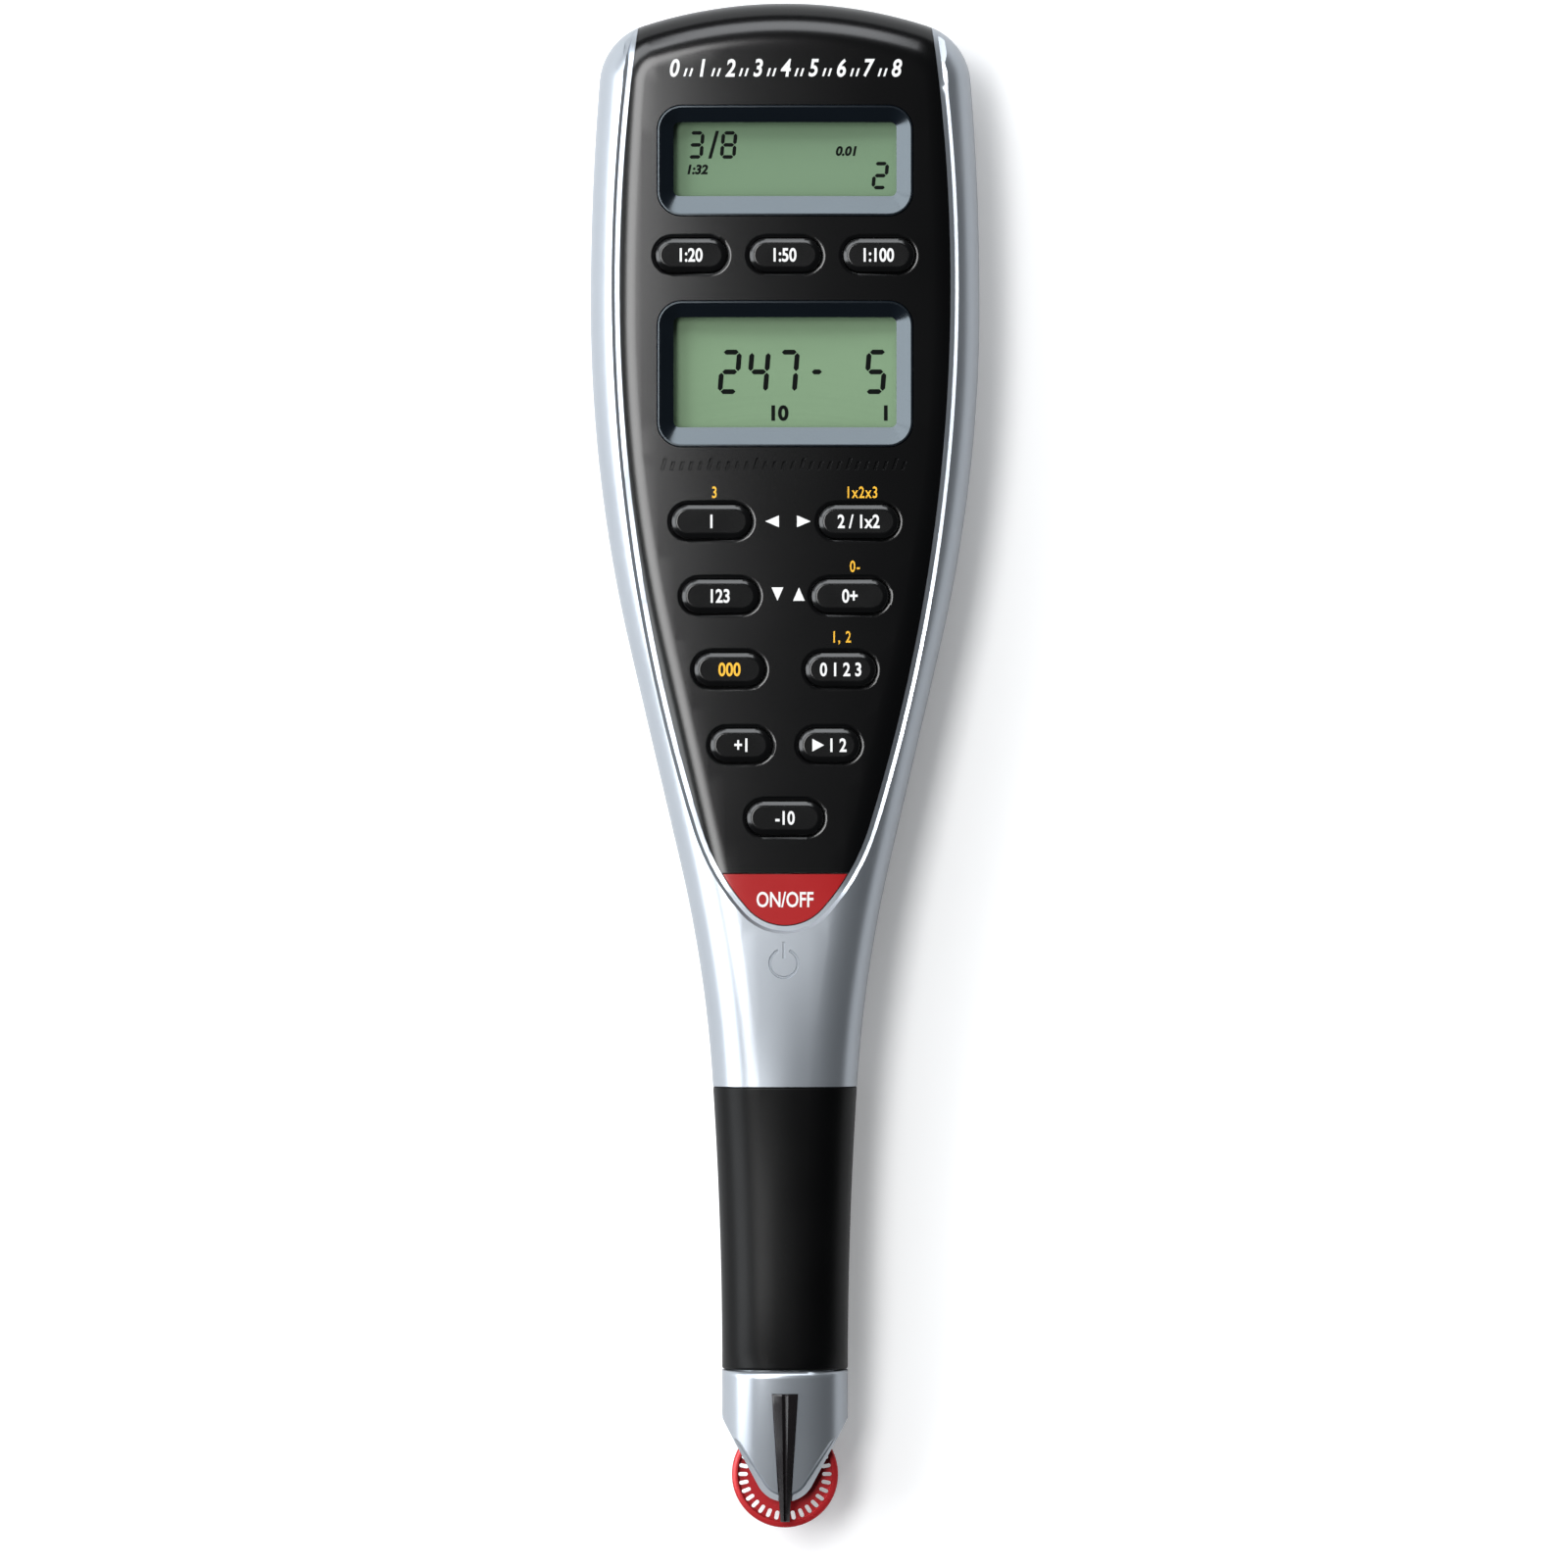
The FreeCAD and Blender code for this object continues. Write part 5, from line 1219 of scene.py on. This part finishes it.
def words(text, height, x, y, narrow=0.72, slant=0.0, weight=0.02, spacing=1.0):
    """Letters of the given cap height, centred on a place, as a flat mesh."""
    let_go()
    bpy.ops.object.text_add()
    obj = bpy.context.object
    obj.data.body = text
    obj.data.size = height / 0.73 * MM
    obj.data.align_x = "CENTER"
    obj.data.align_y = "CENTER"
    obj.data.offset = weight * height * MM
    obj.data.shear = slant
    obj.data.space_character = spacing
    obj.data.resolution_u = 4
    bpy.ops.object.convert(target="MESH")
    obj = bpy.context.object
    corners = np.array([vertex.co[:2] for vertex in obj.data.vertices])
    middle = 0.5 * (corners.min(0) + corners.max(0))
    for vertex in obj.data.vertices:
        vertex.co.x = (vertex.co.x - middle[0]) * narrow + x * MM
        vertex.co.y += y * MM - middle[1]
    pick(obj)
    return obj


def shapes(name, outlines):
    """Several flat faces as one mesh."""
    faces = []
    for outline in outlines:
        faces.append(plan_face(name, outline))
        close_mesh()
    flat = unite(*faces)
    open_mesh(flat)
    bpy.ops.mesh.normals_make_consistent(inside=False)
    close_mesh()
    if flat.data.polygons[0].normal.z < 0:
        bpy.ops.object.mode_set(mode="EDIT")
        bpy.ops.mesh.flip_normals()
        close_mesh()
    return flat


print("ink stands", INK, "mm over the surface")

# %% [markdown]
# The caps carry short legends: drawing scales on the top row, and plain numbers and signs on the rest. Yellow marks
# over four of the keys name their second functions.

# %% Legends
LEGENDS = ("1:20", "1:50", "1:100", "1", "2 / 1x2", "123", "0+", "000", "0 1 2 3", "+1", "1 2", "-10")
for name, text in zip(KEYS, LEGENDS):
    x, y, _ = KEYS[name]
    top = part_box(name)[1][2] / MM - 0.02 + 0.014
    ink = yellow_print if name == "set_key" else white_print
    shift = 1.1 if name == "send_key" else 0
    lay(words(text, 1.62, x + shift, y, 0.8, weight=0.03), name + "_legend", name, ink, top)
x, y, _ = KEYS["send_key"]
arrow = shapes("send_arrow", [[(x - 2.0, y - 0.75), (x - 2.0, y + 0.75), (x - 0.6, y)]])
lay(arrow, "send_key_arrow", "send_key", white_print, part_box("send_key")[1][2] / MM - 0.006)
MARKS = (("3", -8.4, 32.5), ("1x2x3", 9.2, 32.5), ("0-", 8.3, 23.7), ("1, 2", 6.8, 15.2))
for number, (text, x, y) in enumerate(MARKS):
    lay(words(text, 1.4, x, y, spacing=1.15), "yellow_mark_%d" % (number + 1), "case", yellow_print, on_plate)
lay(words("ON/OFF", 1.85, 0, -15.9, 0.74), "power_legend", "power_key", white_print, on_plate)
print(len(prints), "prints on and over the keys")

# %% [markdown]
# Four small triangles between the keys point left, right, down and up. Over the upper window runs a short printed
# scale with numbers.

# %% Marks on the plate
ARROWS = [
    [(-2.35, 29.05), (-0.72, 29.75), (-0.72, 28.35)],
    [(3.05, 29.05), (1.42, 28.35), (1.42, 29.75)],
    [(-0.9, 19.6), (-1.6, 21.2), (-0.2, 21.2)],
    [(1.65, 21.2), (2.35, 19.6), (0.95, 19.6)],
]
lay(shapes("arrows", ARROWS), "plate_arrows", "case", white_print, on_plate)
ticks = []
for step in range(41):
    x, foot, head = -13.3 + 0.66 * step, 81.95, 81.95 + 0.95
    if step % 5 in (2, 3):
        ticks.append([(x - 0.12, foot), (x + 0.12, foot), (x + 0.42, head), (x + 0.18, head)])
lay(shapes("ticks", ticks), "scale_ticks", "case", white_print, on_plate)
for step in range(9):
    number = words(str(step), 2.1, -13.1 + 3.3 * step, 82.95, 0.8, 0.2, 0.03)
    lay(number, "scale_number_%d" % step, "case", white_print, on_plate)
print(len(prints), "prints")

# %% [markdown]
# ## Digits of the displays
#
# A liquid crystal digit is made of seven bars with pointed ends and hair gaps between them. One function gives the
# outline of each bar; a digit is the set of bars that are dark. The whole digit leans a little, as these do.

# %% Seven-bar digits
BARS = {
    # bar: start and end, in units of half the height of a digit
    "a": ((0, 2), (1, 2)),
    "b": ((1, 2), (1, 1)),
    "c": ((1, 1), (1, 0)),
    "d": ((0, 0), (1, 0)),
    "e": ((0, 1), (0, 0)),
    "f": ((0, 2), (0, 1)),
    "g": ((0, 1), (1, 1)),
}
DIGITS = {"1": "bc", "2": "abged", "3": "abgcd", "4": "fgbc", "5": "afgcd", "7": "abc", "8": "abcdefg", "-": "g"}


def digit(text, height, width, x, y, thick=0.17, lean=0.08):
    """Outlines of the dark bars of one digit whose lower left corner is at the given place."""
    outlines = []
    thick *= height * 0.5
    for bar in DIGITS[text]:
        (x0, y0), (x1, y1) = [(a * width, b * height * 0.5) for a, b in BARS[bar]]
        along = np.array([x1 - x0, y1 - y0]) / math.hypot(x1 - x0, y1 - y0)
        aside = np.array([-along[1], along[0]]) * 0.5 * thick
        start, end = np.array([x0, y0]) + along * 0.14 * thick, np.array([x1, y1]) - along * 0.14 * thick
        reach = along * 0.5 * thick
        points = [start, start + reach + aside, end - reach + aside, end, end - reach - aside, start + reach - aside]
        outlines.append([(x + px + lean * py, y + py) for px, py in points])
    return outlines


upper, lower = [], []
upper += digit("3", 2.85, 1.45, -11.45, 72.5, 0.3)
upper += [[(-9.15, 72.3), (-8.75, 72.3), (-7.85, 75.6), (-8.25, 75.6)]]
upper += digit("8", 2.85, 1.45, -7.55, 72.5, 0.3)
upper += digit("2", 2.85, 1.45, 10.5, 68.85, 0.3)
for text, x in (("2", -7.75), ("4", -4.3), ("7", -0.85), ("5", 9.65)):
    lower += digit(text, 4.7, 1.95, x, 44.55, 0.25)
lower += digit("-", 4.7, 1.4, 2.9, 44.55, 0.25)
DISPLAY_TOP = 12.41
lay(shapes("upper_digits", upper), "upper_digits", "case", segment_black, DISPLAY_TOP)
lay(shapes("lower_digits", lower), "lower_digits", "case", segment_black, DISPLAY_TOP)
for name, text, height, x, y in (
    ("upper_small_left", "1:32", 1.1, -10.4, 71.0),
    ("upper_small_right", "0.01", 1.1, 7.3, 73.2),
    ("lower_small_left", "10", 1.75, -0.6, 42.0),
    ("lower_small_right", "1", 1.75, 12.0, 42.0),
):
    lay(words(text, height, x, y, 1.0, 0.2 if height < 1.5 else 0, 0.06), name, "case", segment_black, DISPLAY_TOP)
print(len(prints), "prints with the displays")

# %% [markdown]
# ## Power mark
#
# Below the red key, a ring with a bar is pressed into the silver. It is cut with a thin tool that follows the surface,
# less than two tenths of a millimetre deep.

# %% Power mark
turns = np.radians(np.linspace(114, 426, 34))
inner = [(-0.15 + 1.5 * math.cos(turn), -23.5 + 1.5 * math.sin(turn)) for turn in turns]
outer = [(-0.15 + 1.84 * math.cos(turn), -23.5 + 1.84 * math.sin(turn)) for turn in turns[::-1]]
tools = []
for outline in (inner + outer, [(-0.3, -20.9), (0.0, -20.9), (0.0, -22.9), (-0.3, -22.9)]):
    tool = plan_face("power_mark", outline)
    rise()
    rise(0.08)
    set_levels(tool, TOOL_TOP, lambda xy: front_level(xy) + 0.02, lambda xy: front_level(xy) - 0.18)
    tools.append(turn_outwards(tool))
carve(front, unite(*tools))
print("silver front with its mark:", len(front.data.polygons), "faces")

# %% [markdown]
# ## Putting it together
#
# Every rebuilt piece now gets its name and finish, stands for its solid, and rides on the body that moves it, so that
# keys sink, the wheel turns and the door slides. Shading is smooth, with edges of more than thirty degrees kept sharp,
# or fourteen on the back of the nose, where its wedge meets the rounded form at a flat angle.

# %% Finished pieces
PIECES = (
    (front, "silver_front", "case", "silver_plastic", silver, "front_shell"),
    (plate, "black_plate", "case", "black_plate", gloss_black, "face_plate"),
    (sleeve, "rubber_sleeve", "case", "rubber_sleeve", rubber, "grip_sleeve"),
    (nose, "silver_nose", "case", "silver_plastic", silver, "nose_front"),
    (nose_back, "silver_nose_back", "case", "silver_plastic", silver, "nose_rear"),
    (back, "silver_back", "case", "rear_plastic", rear_silver, "rear_shell"),
    (door, "sliding_door", "battery_door", "rear_plastic", rear_silver, "battery_door"),
    (frames["upper"], "upper_window_frame", "case", "black_plate", frame_black, "upper_bezel"),
    (frames["lower"], "lower_window_frame", "case", "black_plate", frame_black, "lower_bezel"),
    (red, "red_power_key", "power_key", "red_key", key_red, "power_key"),
    (pointer, "pointer_bar", "case", "black_plastic", pointer_grey, "pointer"),
    (wheel, "slotted_wheel", "measuring_wheel", "red_wheel", wheel_red, "measuring_wheel"),
)
for obj, name, body, slot_name, look, node in PIECES:
    put_down(obj, name, body, slot_name, look, node)
for name, obj in caps.items():
    put_down(obj, name + "_cap", name, "grey_key", key_black, name)
for obj in [piece[0] for piece in PIECES] + list(caps.values()):
    tidy(obj, 14 if obj == nose_back else 30)
for obj, form in ((front, head_form), (sleeve, head_form), (plate, border_form), (red, border_form), (nose, nose_form)):
    borrow_shading(obj, form)
for obj, form in ((back, head_form), (door, head_form), (nose_back, nose_back_form)):
    borrow_shading(obj, form, 0.12)
for form in (head_form, border_form, nose_form, nose_back_form):
    bpy.data.objects.remove(form)
print(len(PIECES) + len(caps), "finished pieces")

# %% [markdown]
# ## Finishes for the solids that stay
#
# The inner pieces keep the shapes of the solid model. Each takes the finish that its slot in the record names, and
# the two displays and their windows get the green film and the clear lens.

# %% Finishes of the solids
for part in frame["record"]["subparts"]:
    obj = nodes[part["node"]]
    look = upper_green if part["node"] == "upper_display" else LOOKS[part["material_slot"]]
    obj.data.materials.clear()
    obj.data.materials.append(look)

# %% [markdown]
# ## The two boxes
#
# Last, the box of the solids and the box of the dressed model are written side by side, as a check that the dressing
# has not changed the size.

# %% Sizes and the end
let_go()
visual_box = [list(corner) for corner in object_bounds()]
for label, box in (("solids", cad_box), ("dressed", visual_box)):
    print(label, [round((high - low) / MM, 2) for low, high in zip(*box)], "mm")
